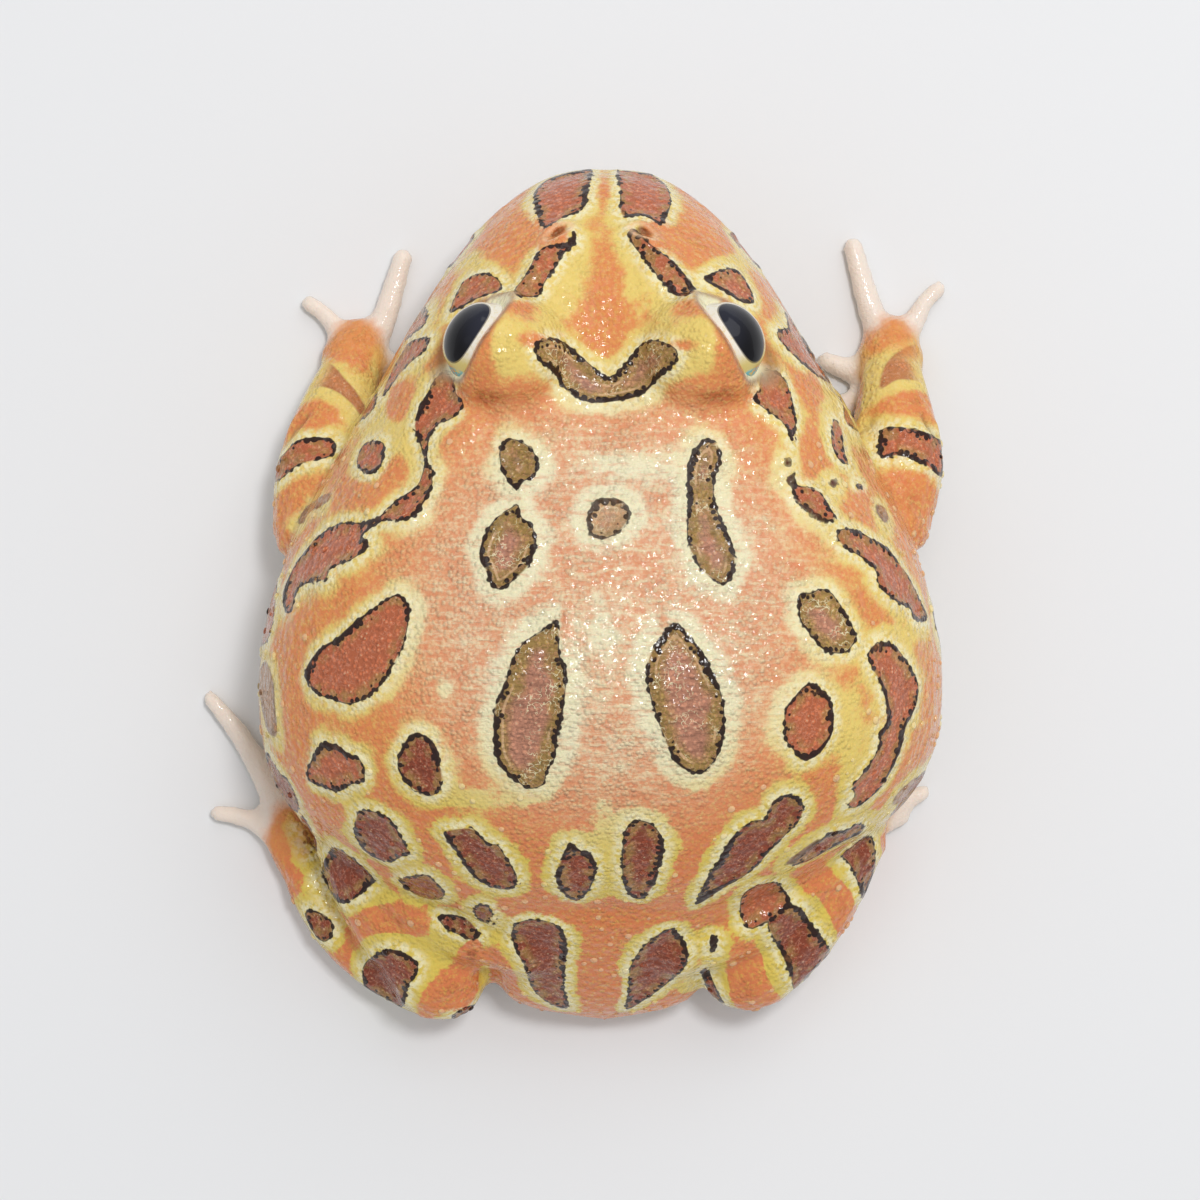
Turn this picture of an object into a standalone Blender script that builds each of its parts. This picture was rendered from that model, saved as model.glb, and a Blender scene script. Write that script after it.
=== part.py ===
"""Argentine horned frog sitting on the floor, life size, modelled in metres.

The snout points to -Y, the frog's own left side to +X, and the floor is z = 0.
Lengths in the tables below are millimetres, and MM turns them into metres.
Each form can be made a little larger all round, so that a neighbour that
presses against it is cut back by exactly the gap that two touching skins keep.
"""

import math

import bmesh
import bpy
from mathutils import Matrix, Vector

MM = 0.001
GAP = 0.3
HALF_GAP = GAP / 2
FAR = 150.0  # longer than the frog, for cutters that pass right through it

# Trunk: head, jaw and body in one loft from the snout to the vent
SNOUT_Y = -51.8
TRUNK_STATIONS = 46
TRUNK_RING = 40
BELLY_POWER = 2.2
SECTION_POINTS = 240  # finely spaced points that each ring is chosen from
TRUNK_ROWS = (
    # from snout, half width left, half width right, top, widest level, underside, dome power
    (0.0, 0.0, 0.0, 12.5, 12.2, 12.0, 2.0),
    (0.5, 5.0, 5.0, 16.0, 12.2, 8.7, 2.1),
    (2.2, 8.8, 8.8, 19.6, 12.3, 5.6, 2.2),
    (5.1, 12.7, 12.7, 23.1, 12.3, 3.4, 2.3),
    (8.9, 16.2, 16.2, 26.5, 12.2, 1.8, 2.5),
    (14.1, 19.9, 19.9, 29.9, 12.1, 0.9, 2.7),
    (21.2, 24.3, 24.2, 32.6, 11.8, 0.1, 2.8),
    (28.5, 28.3, 28.8, 34.3, 11.3, -0.9, 2.7),
    (36.5, 33.3, 33.0, 36.8, 11.1, -1.9, 2.5),
    (44.7, 37.6, 37.2, 40.2, 11.5, -2.4, 2.35),
    (54.0, 40.6, 39.9, 42.8, 12.2, -2.6, 2.25),
    (62.3, 41.6, 40.8, 43.5, 12.5, -2.6, 2.2),
    (70.2, 40.8, 39.6, 41.6, 12.0, -2.4, 2.2),
    (76.5, 37.8, 35.6, 38.0, 11.5, -2.1, 2.2),
    (82.0, 32.5, 29.6, 33.8, 11.3, -1.8, 2.2),
    (87.2, 25.0, 21.8, 28.5, 10.8, -1.4, 2.2),
    (92.0, 16.5, 15.2, 22.6, 9.6, -1.2, 2.2),
    (97.3, 13.6, 12.6, 16.0, 8.0, -0.7, 2.2),
    (100.8, 9.8, 9.0, 10.8, 6.4, 1.0, 2.1),
    (102.7, 0.0, 0.0, 6.1, 5.8, 5.6, 2.0),
)

# Swellings and hollows of the trunk's upper side, as on the left: those off the middle are mirrored
TRUNK_RELIEF = (
    # x, y, reach across, reach along, height
    (0.0, -27.5, 5.0, 6.0, -1.6),  # hollow between the eyes
    (11.0, -28.8, 8.5, 8.0, 1.3),  # swelling round each eye
    (12.1, -22.6, 4.0, 2.6, -1.1),  # hollow behind each eye
    (18.4, -18.2, 4.7, 4.7, 0.9),  # corner of the skull behind it
    (6.8, -39.0, 1.7, 3.8, 0.7),  # ridge from nostril to eye
    (4.9, -43.0, 1.6, 1.6, 0.6),  # swelling round each nostril
    (24.7, -9.4, 5.3, 3.5, 0.8),  # fold above the ear
    (30.6, -3.5, 5.3, 3.5, 0.7),  # the fold's lower end
    (0.0, 36.5, 12.0, 1.9, -1.0),  # crease across the hips
)

# Cuts through the trunk
NECK_FROM_SNOUT = 37.0
MOUTH_LINE = (
    # y, z
    (-70.0, 11.7),
    (-52.0, 11.7),
    (-45.0, 12.3),
    (-35.0, 12.0),
    (-26.0, 11.0),
    (-17.5, 9.8),
    (-5.0, 9.4),
)
MOUTH_STEPS = 3

# Eyes, lids and nostrils, as on the left side
EYE_CENTRE = (13.3, -29.7, 31.4)
EYE_RADIUS = 5.3
LOOK_FORWARD = math.radians(33)
LOOK_UP = math.radians(30)
LID_CENTRE = (11.2, -28.9, 31.2)
LID_RADII = (7.1, 7.3, 6.9)
OPENING_HALF_LENGTH = 6.2
OPENING_HALF_HEIGHT = 4.4
OPENING_TAPER = (0.72, 1.12)  # share of those sizes at the eye's centre and at the far end
HORN_CENTRE = (12.2, -29.6, 33.2)
HORN_RADII = (5.2, 5.6, 5.5)
NOSTRIL = (4.9, -43.3, 26.2)
NOSTRIL_RADII = (0.6, 1.0, 1.4)

# Facets round and along each ball and bar
EYE_FACETS = (20, 14)
LID_FACETS = (28, 18)
HORN_FACETS = (24, 16)
SOCKET_FACETS = (24, 16)
NOSTRIL_FACETS = (10, 8)
OPENING_SIDES = 28

# Limbs: x, y, z and radius along each axis. Left and right differ, as the frog holds them differently.
LIMBS = {
    "upper_arm_left": ((20.0, -10.0, 15.3, 5.9), (28.0, -8.1, 12.9, 5.6), (34.8, -8.6, 10.1, 5.0)),
    "forearm_left": (
        (35.2, -8.9, 9.8, 5.0),
        (34.3, -16.0, 8.0, 5.5),
        (32.6, -22.7, 5.8, 4.8),
        (31.1, -27.4, 3.8, 3.9),
    ),
    "hand_left": ((31.1, -26.8, 3.4, 3.7), (30.5, -29.6, 1.8, 4.3), (29.9, -31.3, 1.2, 3.7)),
    "upper_arm_right": ((-20.0, -10.0, 15.3, 5.9), (-28.2, -8.7, 12.9, 5.6), (-34.6, -9.8, 10.1, 4.9)),
    "forearm_right": (
        (-34.9, -10.2, 9.8, 4.9),
        (-35.9, -16.6, 8.0, 5.4),
        (-35.4, -22.7, 5.8, 4.9),
        (-35.2, -27.4, 3.8, 3.9),
    ),
    "hand_right": ((-35.2, -26.8, 3.4, 3.7), (-35.1, -29.9, 1.8, 4.2), (-35.2, -31.8, 1.2, 3.6)),
    "thigh_left": ((8.0, 38.4, 14.1, 7.1), (20.5, 34.8, 12.5, 7.3), (28.9, 28.9, 10.8, 5.9)),
    "shank_left": (
        (29.3, 28.2, 10.8, 5.9),
        (26.6, 34.4, 10.8, 6.2),
        (22.9, 39.5, 10.0, 6.4),
        (20.1, 44.5, 8.3, 6.3),
    ),
    "tarsus_left": (
        (21.8, 46.6, 4.9, 3.9),
        (27.7, 43.2, 4.4, 4.0),
        (32.4, 38.7, 3.8, 3.9),
        (35.4, 33.7, 3.3, 3.7),
    ),
    "foot_left": ((35.3, 33.9, 2.9, 3.4), (37.5, 30.0, 2.0, 3.5), (38.7, 27.4, 1.4, 3.0)),
    "thigh_right": ((-8.0, 38.4, 14.1, 7.1), (-18.2, 34.8, 13.4, 7.3), (-27.8, 28.9, 11.3, 6.1)),
    "shank_right": (
        (-28.6, 28.2, 10.8, 5.8),
        (-24.8, 35.0, 10.6, 6.2),
        (-21.2, 39.8, 9.9, 6.4),
        (-17.7, 43.4, 8.5, 6.3),
    ),
    "tarsus_right": (
        (-19.0, 45.3, 4.7, 3.7),
        (-24.0, 40.7, 3.9, 3.6),
        (-27.8, 34.6, 3.4, 3.4),
        (-29.9, 30.4, 3.1, 3.3),
    ),
    "foot_right": ((-30.0, 30.1, 2.8, 3.2), (-31.6, 27.5, 2.0, 3.1), (-32.6, 25.9, 1.4, 2.8)),
}
DIGITS = {
    "finger_1_left": ((27.5, -26.6, 1.4, 1.8), (24.7, -24.9, 1.2, 1.4), (22.6, -24.0, 0.95, 1.2)),
    "finger_2_left": ((27.5, -28.9, 1.5, 1.9), (24.0, -29.0, 1.2, 1.5), (20.8, -29.9, 0.95, 1.2)),
    "finger_3_left": (
        (28.6, -30.6, 1.6, 2.0),
        (26.6, -35.8, 1.3, 1.6),
        (25.4, -39.9, 1.2, 1.35),
        (24.7, -42.2, 1.1, 1.25),
    ),
    "finger_4_left": (
        (31.5, -30.8, 1.5, 1.8),
        (33.2, -34.1, 1.2, 1.3),
        (34.7, -35.7, 1.0, 1.05),
        (36.1, -36.6, 0.95, 1.1),
    ),
    "finger_1_right": ((-32.5, -25.9, 1.4, 1.8), (-29.6, -24.0, 1.2, 1.4), (-27.9, -22.9, 0.95, 1.2)),
    "finger_2_right": ((-32.7, -28.2, 1.5, 1.9), (-29.6, -28.7, 1.2, 1.5), (-27.3, -29.6, 0.95, 1.2)),
    "finger_3_right": (
        (-34.3, -31.1, 1.6, 2.0),
        (-32.5, -36.7, 1.3, 1.6),
        (-31.3, -40.9, 1.2, 1.35),
        (-30.6, -43.6, 1.1, 1.25),
    ),
    "finger_4_right": (
        (-36.5, -31.3, 1.5, 1.8),
        (-38.6, -35.5, 1.2, 1.3),
        (-39.8, -37.3, 1.0, 1.05),
        (-41.0, -38.4, 0.95, 1.1),
    ),
    "toe_1_left": ((36.3, 29.9, 1.4, 1.6), (36.0, 27.0, 1.1, 1.25), (35.9, 24.9, 0.95, 1.05)),
    "toe_2_left": ((37.4, 28.0, 1.5, 1.8), (37.4, 24.9, 1.2, 1.3), (37.3, 22.0, 0.95, 1.05)),
    "toe_3_left": ((38.3, 27.0, 1.6, 1.9), (38.8, 22.3, 1.2, 1.35), (39.4, 17.9, 0.95, 1.05)),
    "toe_4_left": (
        (39.3, 27.0, 1.6, 2.0),
        (41.7, 21.2, 1.4, 1.65),
        (45.0, 15.8, 1.2, 1.3),
        (48.3, 11.8, 0.95, 1.0),
    ),
    "toe_5_left": ((39.6, 28.7, 1.5, 1.9), (43.4, 26.6, 1.2, 1.3), (47.4, 25.9, 0.95, 1.0)),
    "toe_1_right": ((-31.5, 27.3, 1.4, 1.6), (-31.3, 24.2, 1.1, 1.25), (-31.3, 22.1, 0.95, 1.05)),
    "toe_2_right": ((-32.1, 26.1, 1.5, 1.7), (-32.9, 22.8, 1.2, 1.25), (-33.6, 19.5, 0.95, 1.05)),
    "toe_3_right": ((-33.2, 25.6, 1.6, 1.8), (-35.3, 21.4, 1.2, 1.35), (-36.8, 18.1, 0.95, 1.05)),
    "toe_4_right": ((-33.4, 26.4, 1.6, 1.8), (-36.5, 24.6, 1.2, 1.35), (-39.2, 23.4, 0.95, 1.0)),
    "toe_5_right": ((-33.0, 27.8, 1.5, 1.6), (-35.1, 26.9, 1.2, 1.25), (-36.8, 26.3, 0.95, 1.0)),
}
LIMB_SIDES = 12
DIGIT_SIDES = 8
LIMB_STEPS = 2  # rings from one point of an axis to the next
DIGIT_STEPS = 2
CAP_ANGLES = (8, 38, 66)  # degrees round a limb's rounded end
WELD = 0.000001  # metres, points closer than this are one
CREASE_ANGLE = math.radians(50)  # edges sharper than this stay crisp

# Colours
SKIN_ORANGE = (0.78, 0.36, 0.13, 1.0)
SKIN_YELLOW = (0.80, 0.62, 0.20, 1.0)
DIGIT_PALE = (0.80, 0.60, 0.46, 1.0)
EYE_DARK = (0.02, 0.02, 0.03, 1.0)


def clear_scene():
    """Removes every object that a new file starts with."""
    for obj in list(bpy.data.objects):
        bpy.data.objects.remove(obj, do_unlink=True)


def new_collection(name):
    """A collection linked to the scene."""
    made = bpy.data.collections.new(name)
    bpy.context.scene.collection.children.link(made)
    return made


def skin(name, colour, roughness):
    """A Principled material."""
    made = bpy.data.materials.new(name)
    made.use_nodes = True
    shader = made.node_tree.nodes["Principled BSDF"]
    shader.inputs["Base Color"].default_value = colour
    shader.inputs["Roughness"].default_value = roughness
    shader.inputs["Metallic"].default_value = 0.0
    return made


def object_of(name, bm):
    """Turns a bmesh in millimetres into a linked object in metres."""
    bmesh.ops.scale(bm, vec=(MM, MM, MM), verts=bm.verts)
    bmesh.ops.recalc_face_normals(bm, faces=bm.faces)
    mesh = bpy.data.meshes.new(name)
    bm.to_mesh(mesh)
    bm.free()
    made = bpy.data.objects.new(name, mesh)
    bpy.context.scene.collection.objects.link(made)
    return made


def evaluated_mesh(obj):
    """The mesh that an object's curve or modifiers make."""
    bpy.context.view_layer.update()
    return bpy.data.meshes.new_from_object(obj.evaluated_get(bpy.context.evaluated_depsgraph_get()))


def spline_between(before, here, there, after, t):
    """A value on the Catmull-Rom curve from here (t = 0) to there (t = 1)."""
    return 0.5 * (
        2 * here
        + (there - before) * t
        + (2 * before - 5 * here + 4 * there - after) * t**2
        + (3 * here - before - 3 * there + after) * t**3
    )


def smooth_through(points, steps):
    """Points on a smooth curve through the given ones, each stretch in equal steps."""
    rows = [Vector(p) for p in points]
    rows = [rows[0] * 2 - rows[1], *rows, rows[-1] * 2 - rows[-2]]
    found = []
    for four in zip(rows, rows[1:], rows[2:], rows[3:]):
        found += [spline_between(*four, step / steps) for step in range(steps)]
    return [*found, rows[-2]]


def beyond_end(end, inner):
    """The trunk's row past an end: its widths turn over, so that the end is round and not pointed."""
    return (end[0] * 2 - inner[0], -inner[1], -inner[2], *inner[3:])


def trunk_row(share):
    """The trunk's sizes at a share of the way through its table."""
    rows = [beyond_end(*TRUNK_ROWS[:2]), *TRUNK_ROWS, beyond_end(TRUNK_ROWS[-1], TRUNK_ROWS[-2])]
    place = share * (len(TRUNK_ROWS) - 1)
    index = min(int(place), len(TRUNK_ROWS) - 2)
    return [spline_between(*four, place - index) for four in zip(*rows[index : index + 4])]


def trunk_section(share, grow):
    """One closed ring of the trunk, with its points evenly spaced along the outline."""
    from_snout, left, right, top, widest, under, power = trunk_row(share)
    outline = []
    for k in range(SECTION_POINTS):
        angle = 2 * math.pi * k / SECTION_POINTS
        across, up = math.sin(angle), math.cos(angle)
        half = (left if across > 0 else right) + grow
        reach = (top - widest if up > 0 else widest - under) + grow
        bend = power if up > 0 else BELLY_POWER
        x = math.copysign(half * abs(across) ** (2 / bend), across)
        z = widest + math.copysign(reach * abs(up) ** (2 / bend), up)
        outline.append(Vector((x, SNOUT_Y + from_snout, z)))
    lengths = [0.0]
    for here, there in zip(outline, [*outline[1:], outline[0]]):
        lengths.append(lengths[-1] + (there - here).length)
    ring, k = [], 0
    for n in range(TRUNK_RING):
        wanted = lengths[-1] * n / TRUNK_RING
        while lengths[k + 1] < wanted:
            k += 1
        part_way = (wanted - lengths[k]) / (lengths[k + 1] - lengths[k])
        ring.append(outline[k].lerp(outline[(k + 1) % SECTION_POINTS], part_way))
    return ring


def relief_at(point):
    """How far the trunk's upper surface stands out or sinks in at this point."""
    total = 0.0
    for x, y, across, along, height in TRUNK_RELIEF:
        for centre in {x, -x}:
            away = ((point.x - centre) / across) ** 2 + ((point.y - y) / along) ** 2
            total += height * math.exp(-away)
    return total


def trunk(grow=0.0):
    """Head, jaw and body in one closed loft."""
    bm = bmesh.new()
    nose_row, vent_row = TRUNK_ROWS[0], TRUNK_ROWS[-1]
    nose = bm.verts.new((0.0, SNOUT_Y + nose_row[0] - grow, nose_row[4]))
    vent = bm.verts.new((0.0, SNOUT_Y + vent_row[0] + grow, vent_row[4]))
    rings = []
    for station in range(1, TRUNK_STATIONS):
        section = trunk_section(station / TRUNK_STATIONS, grow)
        rings.append([bm.verts.new(p) for p in section])
    for first, second in zip(rings, rings[1:]):
        for k in range(TRUNK_RING):
            after = (k + 1) % TRUNK_RING
            bm.faces.new((first[k], first[after], second[after], second[k]))
    for k in range(TRUNK_RING):
        after = (k + 1) % TRUNK_RING
        bm.faces.new((nose, rings[0][after], rings[0][k]))
        bm.faces.new((vent, rings[-1][k], rings[-1][after]))
    bmesh.ops.recalc_face_normals(bm, faces=bm.faces)
    bm.normal_update()
    steps = {v: v.normal * relief_at(v.co) for v in bm.verts if v.normal.z > 0}
    for v, step in steps.items():
        v.co += step
    bmesh.ops.triangulate(bm, faces=bm.faces)
    return object_of("trunk", bm)


def rounded_end(centre, out):
    """Rows from a limb's last full ring to its rounded tip."""
    found = []
    for degrees in CAP_ANGLES:
        turn = math.radians(degrees)
        place = centre.to_3d() + out * centre.w * math.sin(turn)
        found.append(Vector((*place, centre.w * math.cos(turn))))
    return found


def limb(name, rows, sides, steps, grow=0.0):
    """A tapering limb with rounded ends and a round section, from a curve's bevel."""
    axis = smooth_through([(x, y, z, r + grow) for x, y, z, r in rows], steps)
    out_start = (axis[0].to_3d() - axis[1].to_3d()).normalized()
    out_end = (axis[-1].to_3d() - axis[-2].to_3d()).normalized()
    stations = [*reversed(rounded_end(axis[0], out_start)), *axis, *rounded_end(axis[-1], out_end)]
    curve = bpy.data.curves.new(name, "CURVE")
    curve.dimensions = "3D"
    curve.bevel_depth = MM
    curve.bevel_resolution = sides // 2 - 2
    curve.use_fill_caps = True
    spline = curve.splines.new("POLY")
    spline.points.add(len(stations) - 1)
    for point, row in zip(spline.points, stations):
        point.co = (*(row.to_3d() * MM), 1.0)
        point.radius = row.w
    shaped = bpy.data.objects.new(name, curve)
    bpy.context.scene.collection.objects.link(shaped)
    mesh = evaluated_mesh(shaped)
    bpy.data.objects.remove(shaped)
    bm = bmesh.new()
    bm.from_mesh(mesh)
    bmesh.ops.remove_doubles(bm, verts=bm.verts, dist=WELD)
    bmesh.ops.scale(bm, vec=(1 / MM,) * 3, verts=bm.verts)
    bmesh.ops.triangulate(bm, faces=bm.faces)
    return object_of(name, bm)


def ball(name, centre, radii, facets):
    """An ellipsoid."""
    bm = bmesh.new()
    bmesh.ops.create_uvsphere(bm, u_segments=facets[0], v_segments=facets[1], radius=1.0)
    bmesh.ops.scale(bm, vec=radii, verts=bm.verts)
    bmesh.ops.translate(bm, vec=centre, verts=bm.verts)
    return object_of(name, bm)


def block(name, low, high):
    """A box between two corners."""
    bm = bmesh.new()
    bmesh.ops.create_cube(bm, size=1.0)
    low, high = Vector(low), Vector(high)
    bmesh.ops.scale(bm, vec=high - low, verts=bm.verts)
    bmesh.ops.translate(bm, vec=(low + high) / 2, verts=bm.verts)
    return object_of(name, bm)


def below_mouth(shift):
    """Everything below the mouth's line, with the line moved up by shift."""
    bm = bmesh.new()
    line = smooth_through(MOUTH_LINE, MOUTH_STEPS)
    outline = [(line[0].x, -FAR), *[(p.x, p.y + shift) for p in line], (line[-1].x, -FAR)]
    face = bm.faces.new([bm.verts.new((-FAR, y, z)) for y, z in outline])
    swept = bmesh.ops.extrude_face_region(bm, geom=[face])["geom"]
    moved = [g for g in swept if isinstance(g, bmesh.types.BMVert)]
    bmesh.ops.translate(bm, vec=(2 * FAR, 0, 0), verts=moved)
    return object_of("below_mouth", bm)


def mirrored(point, side):
    """A point of the left side, or its match on the right where side is -1."""
    return (point[0] * side, point[1], point[2])


def gaze(side):
    """The direction in which an eye's opening faces."""
    flat = math.cos(LOOK_UP)
    return Vector((side * flat * math.cos(LOOK_FORWARD), -flat * math.sin(LOOK_FORWARD), math.sin(LOOK_UP)))


def eye_opening(side):
    """An oval bar along the gaze, longer than high, that opens the lids in front of the eye."""
    bm = bmesh.new()
    depth, (near, far) = 2 * EYE_RADIUS, OPENING_TAPER
    bmesh.ops.create_cone(bm, cap_ends=True, segments=OPENING_SIDES, radius1=near, radius2=far, depth=depth)
    bmesh.ops.scale(bm, vec=(OPENING_HALF_LENGTH, OPENING_HALF_HEIGHT, 1.0), verts=bm.verts)
    look = gaze(side)
    along = Vector((0, 0, 1)).cross(look).normalized()
    turn = Matrix((along, look.cross(along), look)).transposed().to_4x4()
    place = Vector(mirrored(EYE_CENTRE, side)) + look * (depth / 2)
    bmesh.ops.transform(bm, matrix=Matrix.Translation(place) @ turn, verts=bm.verts)
    return object_of("eye_opening", bm)


def combine(target, others, operation):
    """Joins others to target, cuts them from it, or keeps what they share, and removes them."""
    pieces = new_collection("cutters")
    for other in others:
        pieces.objects.link(other)
    step = target.modifiers.new(operation.lower(), "BOOLEAN")
    step.operation = operation
    step.operand_type = "COLLECTION"
    step.collection = pieces
    mesh = evaluated_mesh(target)
    target.modifiers.clear()
    target.data = mesh
    for other in others:
        bpy.data.objects.remove(other)
    bpy.data.collections.remove(pieces)


def box_volume(verts):
    """Volume of the box round some vertices."""
    spans = [max(v.co[i] for v in verts) - min(v.co[i] for v in verts) for i in range(3)]
    return spans[0] * spans[1] * spans[2]


def keep_largest(obj):
    """Keeps only the largest closed surface of a mesh."""
    bm = bmesh.new()
    bm.from_mesh(obj.data)
    unseen, surfaces = set(bm.verts), []
    while unseen:
        surface, edge = set(), [unseen.pop()]
        while edge:
            vert = edge.pop()
            surface.add(vert)
            near = [e.other_vert(vert) for e in vert.link_edges]
            edge += [v for v in near if v in unseen]
            unseen.difference_update(near)
        surfaces.append(surface)
    largest = max(surfaces, key=box_volume)
    bmesh.ops.delete(bm, geom=[v for v in bm.verts if v not in largest], context="VERTS")
    bm.to_mesh(obj.data)
    bm.free()


def form(name, grow=0.0):
    """One of the frog's whole forms by name, before it is cut back from its neighbours."""
    if name == "trunk":
        return trunk(grow)
    if name in LIMBS:
        return limb(name, LIMBS[name], LIMB_SIDES, LIMB_STEPS, grow)
    return limb(name, DIGITS[name], DIGIT_SIDES, DIGIT_STEPS, grow)


def cutter_of(name, grown):
    """A form grown by the gap. Its mesh is built once and shared by every cut that needs it."""
    if name not in grown:
        made = form(name, GAP)
        grown[name] = made.data
        bpy.data.objects.remove(made)
    return bpy.data.objects.new(name, grown[name])


def floor():
    """The ground, which cuts the small flats that the frog rests on."""
    return block("floor", (-FAR, -FAR, -FAR), (FAR, FAR, 0.0))


def finish(obj, material):
    """Keeps one closed surface, gives it its material and smooths the shading."""
    keep_largest(obj)
    obj.data.materials.clear()
    obj.data.materials.append(material)
    obj.data.shade_smooth()
    obj.data.set_sharp_from_angle(angle=CREASE_ANGLE)
    return obj


def make_head(material):
    """Upper head with lids, horns, sockets and nostrils."""
    head = trunk()
    head.name = "head"
    added = []
    for side in (1, -1):
        added.append(ball("lid", mirrored(LID_CENTRE, side), LID_RADII, LID_FACETS))
        added.append(ball("horn", mirrored(HORN_CENTRE, side), HORN_RADII, HORN_FACETS))
    combine(head, added, "UNION")
    neck = SNOUT_Y + NECK_FROM_SNOUT - HALF_GAP
    combine(head, [block("behind_neck", (-FAR, neck, -FAR), (FAR, FAR, FAR))], "DIFFERENCE")
    combine(head, [below_mouth(HALF_GAP)], "DIFFERENCE")
    for side in (1, -1):
        hole = EYE_RADIUS + GAP
        cuts = [
            ball("socket", mirrored(EYE_CENTRE, side), (hole,) * 3, SOCKET_FACETS),
            eye_opening(side),
            ball("nostril", mirrored(NOSTRIL, side), NOSTRIL_RADII, NOSTRIL_FACETS),
        ]
        combine(head, cuts, "DIFFERENCE")
    return finish(head, material)


def make_jaw(material):
    """Lower jaw, below the mouth's line and in front of the neck."""
    jaw = trunk()
    jaw.name = "lower_jaw"
    neck = SNOUT_Y + NECK_FROM_SNOUT - HALF_GAP
    combine(jaw, [block("behind_neck", (-FAR, neck, -FAR), (FAR, FAR, FAR))], "DIFFERENCE")
    combine(jaw, [below_mouth(-HALF_GAP)], "INTERSECT")
    combine(jaw, [floor()], "DIFFERENCE")
    return finish(jaw, material)


def make_torso(material):
    """Body behind the neck."""
    torso = trunk()
    torso.name = "torso"
    neck = SNOUT_Y + NECK_FROM_SNOUT + HALF_GAP
    combine(torso, [block("before_neck", (-FAR, -FAR, -FAR), (FAR, neck, FAR))], "DIFFERENCE")
    combine(torso, [floor()], "DIFFERENCE")
    return finish(torso, material)


def make_eye(name, side, material):
    """Eyeball."""
    eye = ball(name, mirrored(EYE_CENTRE, side), (EYE_RADIUS,) * 3, EYE_FACETS)
    return finish(eye, material)


def make_limb(name, clear_of, grown, material):
    """A limb's piece, cut back by the gap from the forms it meets and flat on the floor."""
    piece = form(name)
    combine(piece, [cutter_of(other, grown) for other in clear_of], "DIFFERENCE")
    combine(piece, [floor()], "DIFFERENCE")
    return finish(piece, material)


def limb_order(word):
    """Each limb piece of one side with the forms it is cut back from."""
    order = [
        (f"upper_arm_{word}", ["trunk"]),
        (f"forearm_{word}", ["trunk", f"upper_arm_{word}"]),
        (f"hand_{word}", ["trunk", f"forearm_{word}"]),
        (f"thigh_{word}", ["trunk"]),
        (f"shank_{word}", ["trunk", f"thigh_{word}"]),
        (f"tarsus_{word}", ["trunk", f"thigh_{word}", f"shank_{word}"]),
        (f"foot_{word}", ["trunk", f"shank_{word}", f"tarsus_{word}"]),
    ]
    for palm, above, kind, count in (("hand", "forearm", "finger", 4), ("foot", "tarsus", "toe", 5)):
        earlier = ["trunk", f"{above}_{word}", f"{palm}_{word}"]
        for n in range(count, 0, -1):
            order.append((f"{kind}_{n}_{word}", list(earlier)))
            earlier.append(f"{kind}_{n}_{word}")
    return order


def main():
    """Builds the frog and stands it with its box's centre over the origin."""
    clear_scene()
    parts = new_collection("horned_frog")
    upper = skin("skin_orange", SKIN_ORANGE, 0.35)
    lower = skin("skin_yellow", SKIN_YELLOW, 0.35)
    pale = skin("digit_skin", DIGIT_PALE, 0.4)
    dark = skin("eye", EYE_DARK, 0.05)
    made = [make_head(upper), make_jaw(lower), make_torso(upper)]
    grown = {}
    for side, word in ((1, "left"), (-1, "right")):
        made.append(make_eye(f"eye_{word}", side, dark))
        for name, clear_of in limb_order(word):
            made.append(make_limb(name, clear_of, grown, upper if name in LIMBS else pale))
    corners = [v.co for obj in made for v in obj.data.vertices]
    spans = [(min(c[i] for c in corners), max(c[i] for c in corners)) for i in range(2)]
    stand = bpy.data.objects.new("stand_point", None)
    stand.location = (-sum(spans[0]) / 2, -sum(spans[1]) / 2, 0.0)
    parts.objects.link(stand)
    for obj in made:
        for holder in list(obj.users_collection):
            holder.objects.unlink(obj)
        parts.objects.link(obj)
        obj.parent = stand
    bpy.context.view_layer.update()


main()
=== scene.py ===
"""Skin, eyes and studio for the argentine horned frog.

The skin is grown from the frame's solids, so it keeps their outline, and the lids, the
nostrils, the mouth and the folds are then carved into it. Its markings are outlines drawn
on the skin from straight above, with their distance kept on each vertex, and the material
turns that distance into the blotch, its dark beaded rim and its halo.
"""

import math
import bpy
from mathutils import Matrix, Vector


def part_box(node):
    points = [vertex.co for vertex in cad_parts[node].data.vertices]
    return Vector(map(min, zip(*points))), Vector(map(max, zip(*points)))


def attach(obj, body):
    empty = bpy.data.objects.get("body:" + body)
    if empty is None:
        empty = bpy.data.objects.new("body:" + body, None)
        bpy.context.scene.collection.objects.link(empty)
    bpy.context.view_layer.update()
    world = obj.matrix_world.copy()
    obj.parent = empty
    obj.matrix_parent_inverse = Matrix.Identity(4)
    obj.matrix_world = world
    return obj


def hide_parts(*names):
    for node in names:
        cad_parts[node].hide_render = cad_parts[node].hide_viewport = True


bl_info = {
    "name": "Argentine Horned Frog",
    "version": (1, 1, 0),
    "blender": (4, 5, 0),
    "location": "3D View > Sidebar > Frog",
    "description": "Dresses the frog's solids in marked skin and sets up its studio",
    "category": "Object",
}

import bmesh
import bpy
import numpy as np
from mathutils import Matrix, Vector
from mathutils.bvhtree import BVHTree
from mathutils.kdtree import KDTree

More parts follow.
